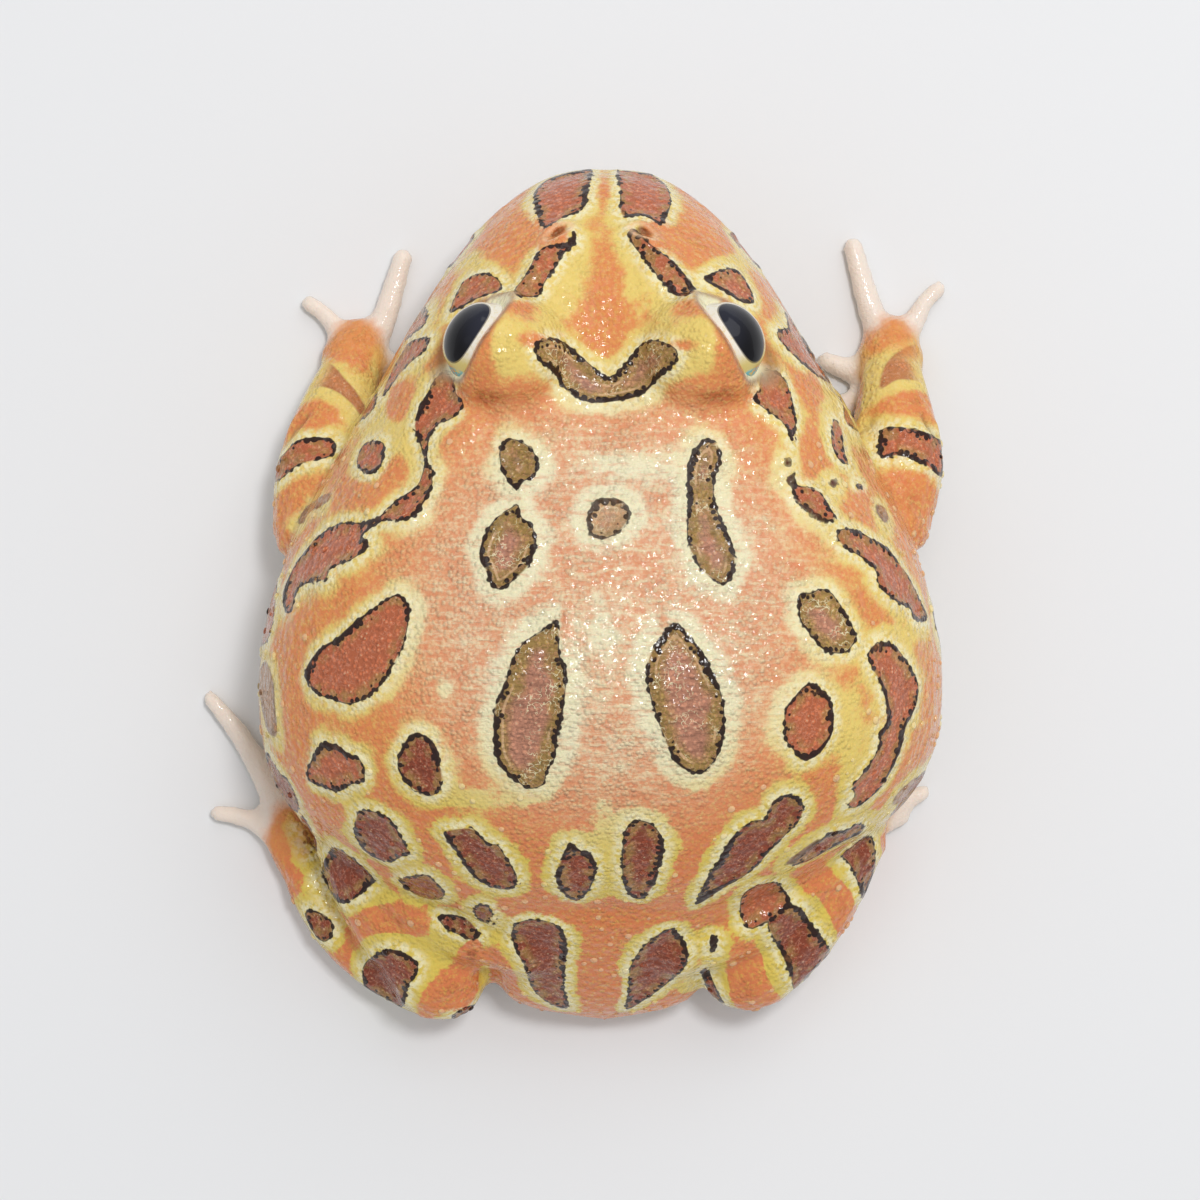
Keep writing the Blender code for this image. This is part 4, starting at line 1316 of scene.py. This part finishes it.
def blotch_colour(s, colours, grain, folds):
    """The inside of a blotch: mottled, golden and dark next to its rim, with painted highlights on its
    grains, along a ridge inside the rim and in thin wet lines.
    """
    mark = s.attribute("mark")
    patches = s.step(s.noise(700, 3), 0.42, 0.58)
    inner = s.step(s.maths("ADD", mark, s.swing(s.noise(420, 3), 1.6)), -2.6, -1.0, 0.95, 0.0)
    olive = s.mix(inner, colours.olive, colours.rose)
    inside = s.mix(s.attribute("dark"), colours.terracotta, colours.russet)
    golden = s.times(s.step(mark, -2.2, -0.9, 0.0, 0.7), patches, s.attribute("rimmed"))
    inside = s.mix(golden, inside, colours.olive)
    inside = s.mix(s.attribute("olive"), inside, olive)
    inside = s.mix(s.attribute("plum"), inside, colours.plum)
    mottles = s.times(s.step(s.noise(1300, 6, 0.8), 0.48, 0.64), 0.7)
    between = s.times(s.step(grain, 0.2, 0.6, 1.0, 0.0), 0.5)
    shade = s.maths("MAXIMUM", s.maths("MAXIMUM", mottles, between), s.step(mark, -1.3, -0.5, 0.0, 0.5))
    inside = s.mix(shade, inside, s.mix(0.66, inside, colours.rim))
    rows = s.times(s.step(folds, 0.48, 0.6), s.attribute("olive"), 0.5)
    inside = s.mix(rows, inside, s.mix(0.6, inside, colours.rim))
    inside = s.mix(s.times(s.line(s.noise(1300, 3), 0.5, 0.03), 0.35), inside, colours.rose)
    # painted highlight on the grains' tops
    grain_highlight = s.times(s.step(grain, 0.7, 0.95), s.step(s.noise(900), 0.42, 0.6), 0.4)
    inside = s.mix(grain_highlight, inside, colours.wart)
    # painted highlight along a ridge inside the rim
    ridge_highlight = s.times(s.line(mark, -1.15, 0.2), s.step(s.noise(150, 1), 0.5, 0.56))
    inside = s.mix(s.times(ridge_highlight, s.attribute("olive"), 0.5), inside, colours.blush)
    # painted highlights in thin winding wet lines
    wet_glints = s.times(s.line(s.noise(1000, 2), 0.5, 0.022), s.step(s.noise(300, 1), 0.45, 0.6))
    return s.mix(s.times(wet_glints, s.attribute("olive"), 0.75), inside, colours.ivory)


def rim_share(s, beads):
    """The dark beaded rim, thick and thin by turns, just inside each blotch's outline."""
    mark = s.attribute("mark")
    width = s.maths("ADD", s.swing(s.noise(150, 1), 1.1), 0.72)
    width = s.maths("ADD", width, s.swing(beads, 0.4))
    width = s.maths("MAXIMUM", width, 0.24)
    outside = s.step(s.maths("SUBTRACT", mark, s.swing(beads, 0.14)), -0.05, 0.08, 1.0, 0.0)
    inside = s.step(s.maths("ADD", mark, width), -0.08, 0.08)
    whole = s.step(s.noise(420, 2), 0.33, 0.39)
    return s.times(outside, inside, whole, s.attribute("rimmed"))


def skin_material(colours):
    """Marked, granular, wet skin."""
    s = Shader("marked skin")
    pale = s.attribute("paleness")
    grain, beads = s.grains(GRAINS), s.grains(BEADS)
    folds = s.noise(1.0, 5, 0.65, s.stretched(WRINKLES))
    base = field_colour(s, colours, folds)
    within = s.times(s.step(s.attribute("mark"), -0.35, -0.05, 1.0, 0.0), s.attribute("painted"))
    base = s.mix(within, base, blotch_colour(s, colours, grain, folds))
    rim = rim_share(s, beads)
    base = s.mix(s.times(rim, 0.97), base, colours.rim)

    digit = s.maths("ADD", s.attribute("digit"), s.swing(s.noise(500, 3), 0.25))
    base = s.mix(s.step(digit, 0.05, 0.3, 0.0, 0.6), base, colours.orange)
    base = s.mix(s.step(digit, 0.3, 0.95, 0.0, 0.95), base, colours.digit)
    base = s.mix(s.attribute("belly"), base, colours.belly)
    base = s.mix(s.times(s.attribute("lid"), 0.75), base, colours.orange)
    base = s.mix(s.attribute("corner"), base, colours.ivory)
    base = s.mix(s.times(s.attribute("nostril_ring"), 0.7), base, colours.blush)
    # painted shade along the mouth's line, in the nostrils' pits and on the lids' dark line
    base = s.mix(s.times(s.attribute("groove"), 0.85), base, colours.crease_shade)

    fine = s.noise(3600, 3, 0.65)
    soft = s.step(s.attribute("digit"), 0.2, 0.7, 1.0, 0.2)
    height = s.times(grain, s.step(s.noise(260, 2), 0.35, 0.65, 0.35, 1.0), soft)
    height = s.times(height, s.step(pale, 0.0, 1.0, 0.6, 1.0))
    height = s.maths("ADD", height, s.times(s.grains(PEBBLES), s.attribute("rough"), 0.6))
    height = s.maths("ADD", height, s.times(fine, 0.4))
    height = s.maths("ADD", height, s.times(folds, pale, 1.3))
    height = s.maths("ADD", height, s.times(rim, beads, 0.8))
    s.bump("Normal", height, SKIN_RELIEF)
    film = s.maths("ADD", s.times(s.grains(WET_FILM), soft), s.times(s.noise(1300, 2), 0.8))
    s.bump("Coat Normal", film, FILM_RELIEF)
    s.set(Base_Color=base, Roughness=s.step(fine, 0.3, 0.7, 0.35, 0.55), IOR=1.1)
    s.set(Coat_Weight=1.0, Coat_Roughness=0.08, Coat_IOR=1.38)
    s.set(Subsurface_Weight=0.06, Subsurface_Scale=0.6 * MM)
    s.surface.inputs["Subsurface Radius"].default_value = (1.0, 0.45, 0.25)
    return s.material


def eye_material(colours):
    """A dark oval pupil with a painted reflection greying its front and top, a pale iris that yellows
    towards the back corner, and a wet surface.
    """
    s = Shader("wet eye")
    back, up, pupil = s.attribute("back"), s.attribute("up"), s.attribute("pupil")
    speckle = s.noise(2600, 4, 0.7)
    # painted reflection: the pupil greys from black at the back and bottom to the painted sheen at the
    # front and top
    deep = s.mix(s.step(s.maths("SUBTRACT", up, back), 0, 55), colours.pupil, colours.painted_sheen)
    iris = s.mix(s.step(speckle, 0.45, 0.75, 0.0, 0.6), colours.iris, colours.gold)
    iris = s.mix(s.times(s.step(back, 20, 46), 0.9), iris, colours.gold)
    iris = s.mix(s.step(up, -24, -44, 0.0, 0.6), iris, colours.gold)
    wedge = s.times(s.step(back, 50, 56), s.step(up, 14, 4))
    iris = s.mix(s.times(wedge, 0.7), iris, colours.terracotta)
    fleck = s.times(s.step(back, 53, 58), s.step(s.noise(1800), 0.42, 0.52))
    iris = s.mix(fleck, iris, colours.fleck)
    base = s.mix(s.step(pupil, 0.99, 1.01), deep, iris)
    ring = s.step(s.maths("ABSOLUTE", s.maths("SUBTRACT", pupil, 1.02)), 0.01, 0.035, 0.7, 0.0)
    base = s.mix(ring, base, colours.rim)
    s.set(Base_Color=base, Roughness=0.2, IOR=1.1)
    s.set(Coat_Weight=1.0, Coat_Roughness=0.03, Coat_IOR=1.33)
    return s.material


def floor_material(shade):
    """An even pale floor, very slightly mottled."""
    s = Shader("pale floor")
    darker = tuple(share * 0.985 for share in shade)
    s.set(Base_Color=s.mix(s.noise(3, 2), tuple(shade), darker), Roughness=0.7)
    return s.material


def raise_rims(mesh, marks, height):
    """Lifts the blotches' rims and sinks their insides a little."""
    lift = hump(marks.distance, RIM_MIDDLE, RIM_WIDTH)
    lift -= INSIDE_DEPTH * smoothstep(*INSIDE_SINKS, marks.distance)
    rimmed = marks.tones[:, TONE_PARTS.index("rimmed")]
    set_vertices(mesh, vertex_array(mesh) + marks.normals * (lift * rimmed * height)[:, None])


class FROG_OT_skin(bpy.types.Operator):
    """Grows the skin over the solids and marks it"""

    bl_idname = "frog.skin"
    bl_label = "Grow Skin"

    def execute(self, context):
        sizes = context.scene.frog_skin
        mesh = grown_skin(sizes)
        tree = tree_of(mesh)
        shape_lids(mesh, sizes.lid_thickness)
        crease_shade = carve_mouth(mesh, sizes.lip_depth)
        carve_folds(mesh)
        pits, rings = carve_nostrils(mesh, tree, sizes.nostril_depth)
        keep_value(mesh, "nostril_ring", rings)
        marks = store_marks(mesh, tree_of(mesh), np.maximum(crease_shade, pits))
        raise_rims(mesh, marks, sizes.rim_height)
        mesh.shade_smooth()
        mesh.materials.clear()
        mesh.materials.append(skin_material(context.scene.frog_colours))
        skin = linked_object(SKIN_NAME, mesh)
        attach(skin, "root")
        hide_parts(*FLESH)
        return {"FINISHED"}


def wart_tree():
    """Geometry nodes that strew flat round warts where the skin is rough."""
    tree = bpy.data.node_groups.new("warts", "GeometryNodeTree")
    kinds = {"Density": "Float", "Radius": "Float", "Seed": "Int", "Material": "Material"}
    for name, kind in {"Geometry": "Geometry", **kinds}.items():
        tree.interface.new_socket(name, in_out="INPUT", socket_type=f"NodeSocket{kind}")
    tree.interface.new_socket("Geometry", in_out="OUTPUT", socket_type="NodeSocketGeometry")
    given = tree.nodes.new("NodeGroupInput").outputs
    rough = new_node(tree, "GeometryNodeInputNamedAttribute", Name="rough")
    density = combined(tree, "MULTIPLY", rough.outputs[0], given["Density"])
    strew = new_node(
        tree,
        "GeometryNodeDistributePointsOnFaces",
        Mesh=given["Geometry"],
        Density=density,
        Seed=given["Seed"],
    )
    random = new_node(
        tree, "FunctionNodeRandomValue", Min=SMALLEST_WART, Max=1.0, Seed=given["Seed"]
    )
    size = random.outputs[1]
    flat = combined(tree, "MULTIPLY", size, WART_FLATNESS)
    place = new_node(
        tree,
        "GeometryNodeInstanceOnPoints",
        Points=strew.outputs["Points"],
        Rotation=strew.outputs["Rotation"],
        Instance=new_node(
            tree, "GeometryNodeMeshIcoSphere", Subdivisions=2, Radius=given["Radius"]
        ).outputs["Mesh"],
        Scale=new_node(tree, "ShaderNodeCombineXYZ", X=size, Y=size, Z=flat).outputs[0],
    )
    label = new_node(
        tree, "GeometryNodeStoreNamedAttribute", Name="wart", Value=1.0, Geometry=place.outputs[0]
    )
    label.domain = "INSTANCE"
    real = new_node(tree, "GeometryNodeRealizeInstances", Geometry=label.outputs[0])
    paint = new_node(
        tree, "GeometryNodeSetMaterial", Geometry=real.outputs[0], Material=given["Material"]
    )
    new_node(tree, "NodeGroupOutput", Geometry=paint.outputs[0])
    return tree


class FROG_OT_warts(bpy.types.Operator):
    """Strews warts over the flanks and the rear"""

    bl_idname = "frog.warts"
    bl_label = "Strew Warts"

    def execute(self, context):
        sizes = context.scene.frog_skin
        skin = bpy.data.objects[SKIN_NAME]
        holder = linked_object("wart_holder", skin.data.copy())
        step = holder.modifiers.new("warts", "NODES")
        step.node_group = wart_tree()
        wanted = {
            "Density": sizes.wart_density,
            "Radius": sizes.wart_radius,
            "Seed": sizes.seed,
            "Material": skin.data.materials[0],
        }
        for socket in step.node_group.interface.items_tree:
            if socket.in_out == "INPUT" and socket.name in wanted:
                step[socket.identifier] = wanted[socket.name]
        mesh = evaluated_mesh(holder)
        bpy.data.objects.remove(holder)
        mesh.shade_smooth()
        warts = linked_object("flank_warts", mesh)
        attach(warts, "root")
        return {"FINISHED"}


def eye_mesh(name):
    """An eyeball whose poles lie along its gaze, with the cornea standing out a little."""
    bm = bmesh.new()
    bmesh.ops.create_uvsphere(bm, u_segments=EYE_SEGMENTS, v_segments=EYE_RINGS, radius=EYE_RADIUS)
    out, across, up = eye_axes(name)
    turn = Matrix((across, up, out)).transposed().to_4x4()
    bmesh.ops.transform(bm, matrix=Matrix.Translation(EYE_CENTRES[name]) @ turn, verts=bm.verts)
    bmesh.ops.recalc_face_normals(bm, faces=bm.faces)
    mesh = mesh_from(bm, f"{name}_ball")
    places, centre = vertex_array(mesh), np.array(EYE_CENTRES[name])
    back, high, _ = eye_angles(name, places)
    pupil = np.hypot(back / PUPIL_ALONG, (high - PUPIL_RAISED) / PUPIL_HIGH)
    swell = CORNEA_HEIGHT / EYE_RADIUS * (1 - smoothstep(*CORNEA_RISES, beyond_lids(back, high)))
    set_vertices(mesh, centre + (places - centre) * (1 + swell)[:, None])
    for title, values in (("back", back), ("up", high), ("pupil", pupil)):
        keep_value(mesh, title, values)
    mesh.shade_smooth()
    return mesh


class FROG_OT_eyes(bpy.types.Operator):
    """Makes both eyeballs"""

    bl_idname = "frog.eyes"
    bl_label = "Make Eyes"

    def execute(self, context):
        material = eye_material(context.scene.frog_colours)
        for name in EYES:
            mesh = eye_mesh(name)
            mesh.materials.append(material)
            ball = linked_object(f"{name}_ball", mesh)
            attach(ball, "root")
            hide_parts(name)
        return {"FINISHED"}


def area_light(name, place, size, watts):
    """A soft square light that faces the frog."""
    data = bpy.data.lights.new(name, "AREA")
    data.size = size
    data.energy = watts
    lamp = linked_object(name, data)
    lamp.location = place
    towards = Vector((0, 0, LIT_HEIGHT)) - lamp.location
    lamp.rotation_euler = towards.to_track_quat("-Z", "Y").to_euler()
    return lamp


class FROG_OT_stage(bpy.types.Operator):
    """Sets up the pale floor, the soft light and the camera straight above"""

    bl_idname = "frog.stage"
    bl_label = "Set Up Stage"

    def execute(self, context):
        look = context.scene.frog_stage
        bm = bmesh.new()
        bmesh.ops.create_grid(bm, x_segments=1, y_segments=1, size=look.floor_size / 2)
        mesh = mesh_from(bm, "floor")
        mesh.materials.append(floor_material(look.floor_colour))
        floor = linked_object("floor", mesh)
        lamps = [
            area_light(name, place, size, getattr(look, setting))
            for name, (place, size, setting) in LIGHTS.items()
        ]
        world = bpy.data.worlds.new("even light")
        world.use_nodes = True
        background = world.node_tree.nodes["Background"]
        background.inputs["Color"].default_value = (1.0, 1.0, 1.0, 1.0)
        background.inputs["Strength"].default_value = look.sky
        context.scene.world = world
        context.scene.view_settings.view_transform = "Standard"
        data = bpy.data.cameras.new("camera")
        data.sensor_width = SENSOR_WIDTH
        data.lens = SENSOR_WIDTH * (CAMERA_HEIGHT - PIXEL_HEIGHT) / (PICTURE_SIZE * PIXEL_SIZE)
        data.clip_start = NEAREST_SEEN
        camera = linked_object("camera", data)
        camera.matrix_world = Matrix.Translation(CAMERA) @ Matrix.Rotation(math.pi, 4, "Z")
        context.scene.camera = camera
        return {"FINISHED"}


class FROG_PT_panel(bpy.types.Panel):
    """Lists the frog's sizes, colours and steps"""

    bl_idname = "FROG_PT_panel"
    bl_label = "Horned Frog"
    bl_space_type = "VIEW_3D"
    bl_region_type = "UI"
    bl_category = "Frog"

    def draw(self, context):
        for group in GROUPS:
            settings = getattr(context.scene, group)
            box = self.layout.box()
            for name in GROUPS[group].__annotations__:
                box.prop(settings, name)
        for operator in OPERATORS:
            self.layout.operator(operator.bl_idname)


GROUPS = {"frog_skin": FrogSkin, "frog_colours": FrogColours, "frog_stage": FrogStage}
OPERATORS = (FROG_OT_skin, FROG_OT_warts, FROG_OT_eyes, FROG_OT_stage)


def register():
    """Adds the classes and the scene's settings."""
    for cls in (*GROUPS.values(), *OPERATORS, FROG_PT_panel):
        bpy.utils.register_class(cls)
    for name, group in GROUPS.items():
        setattr(bpy.types.Scene, name, bpy.props.PointerProperty(type=group))


def unregister():
    """Takes the classes and the settings away again."""
    for name in GROUPS:
        delattr(bpy.types.Scene, name)
    for cls in (FROG_PT_panel, *reversed(OPERATORS), *reversed(GROUPS.values())):
        bpy.utils.unregister_class(cls)


def main():
    """Makes every piece."""
    register()
    bpy.ops.frog.skin()
    bpy.ops.frog.warts()
    bpy.ops.frog.eyes()
    bpy.ops.frog.stage()


if __name__ == "__main__":
    main()
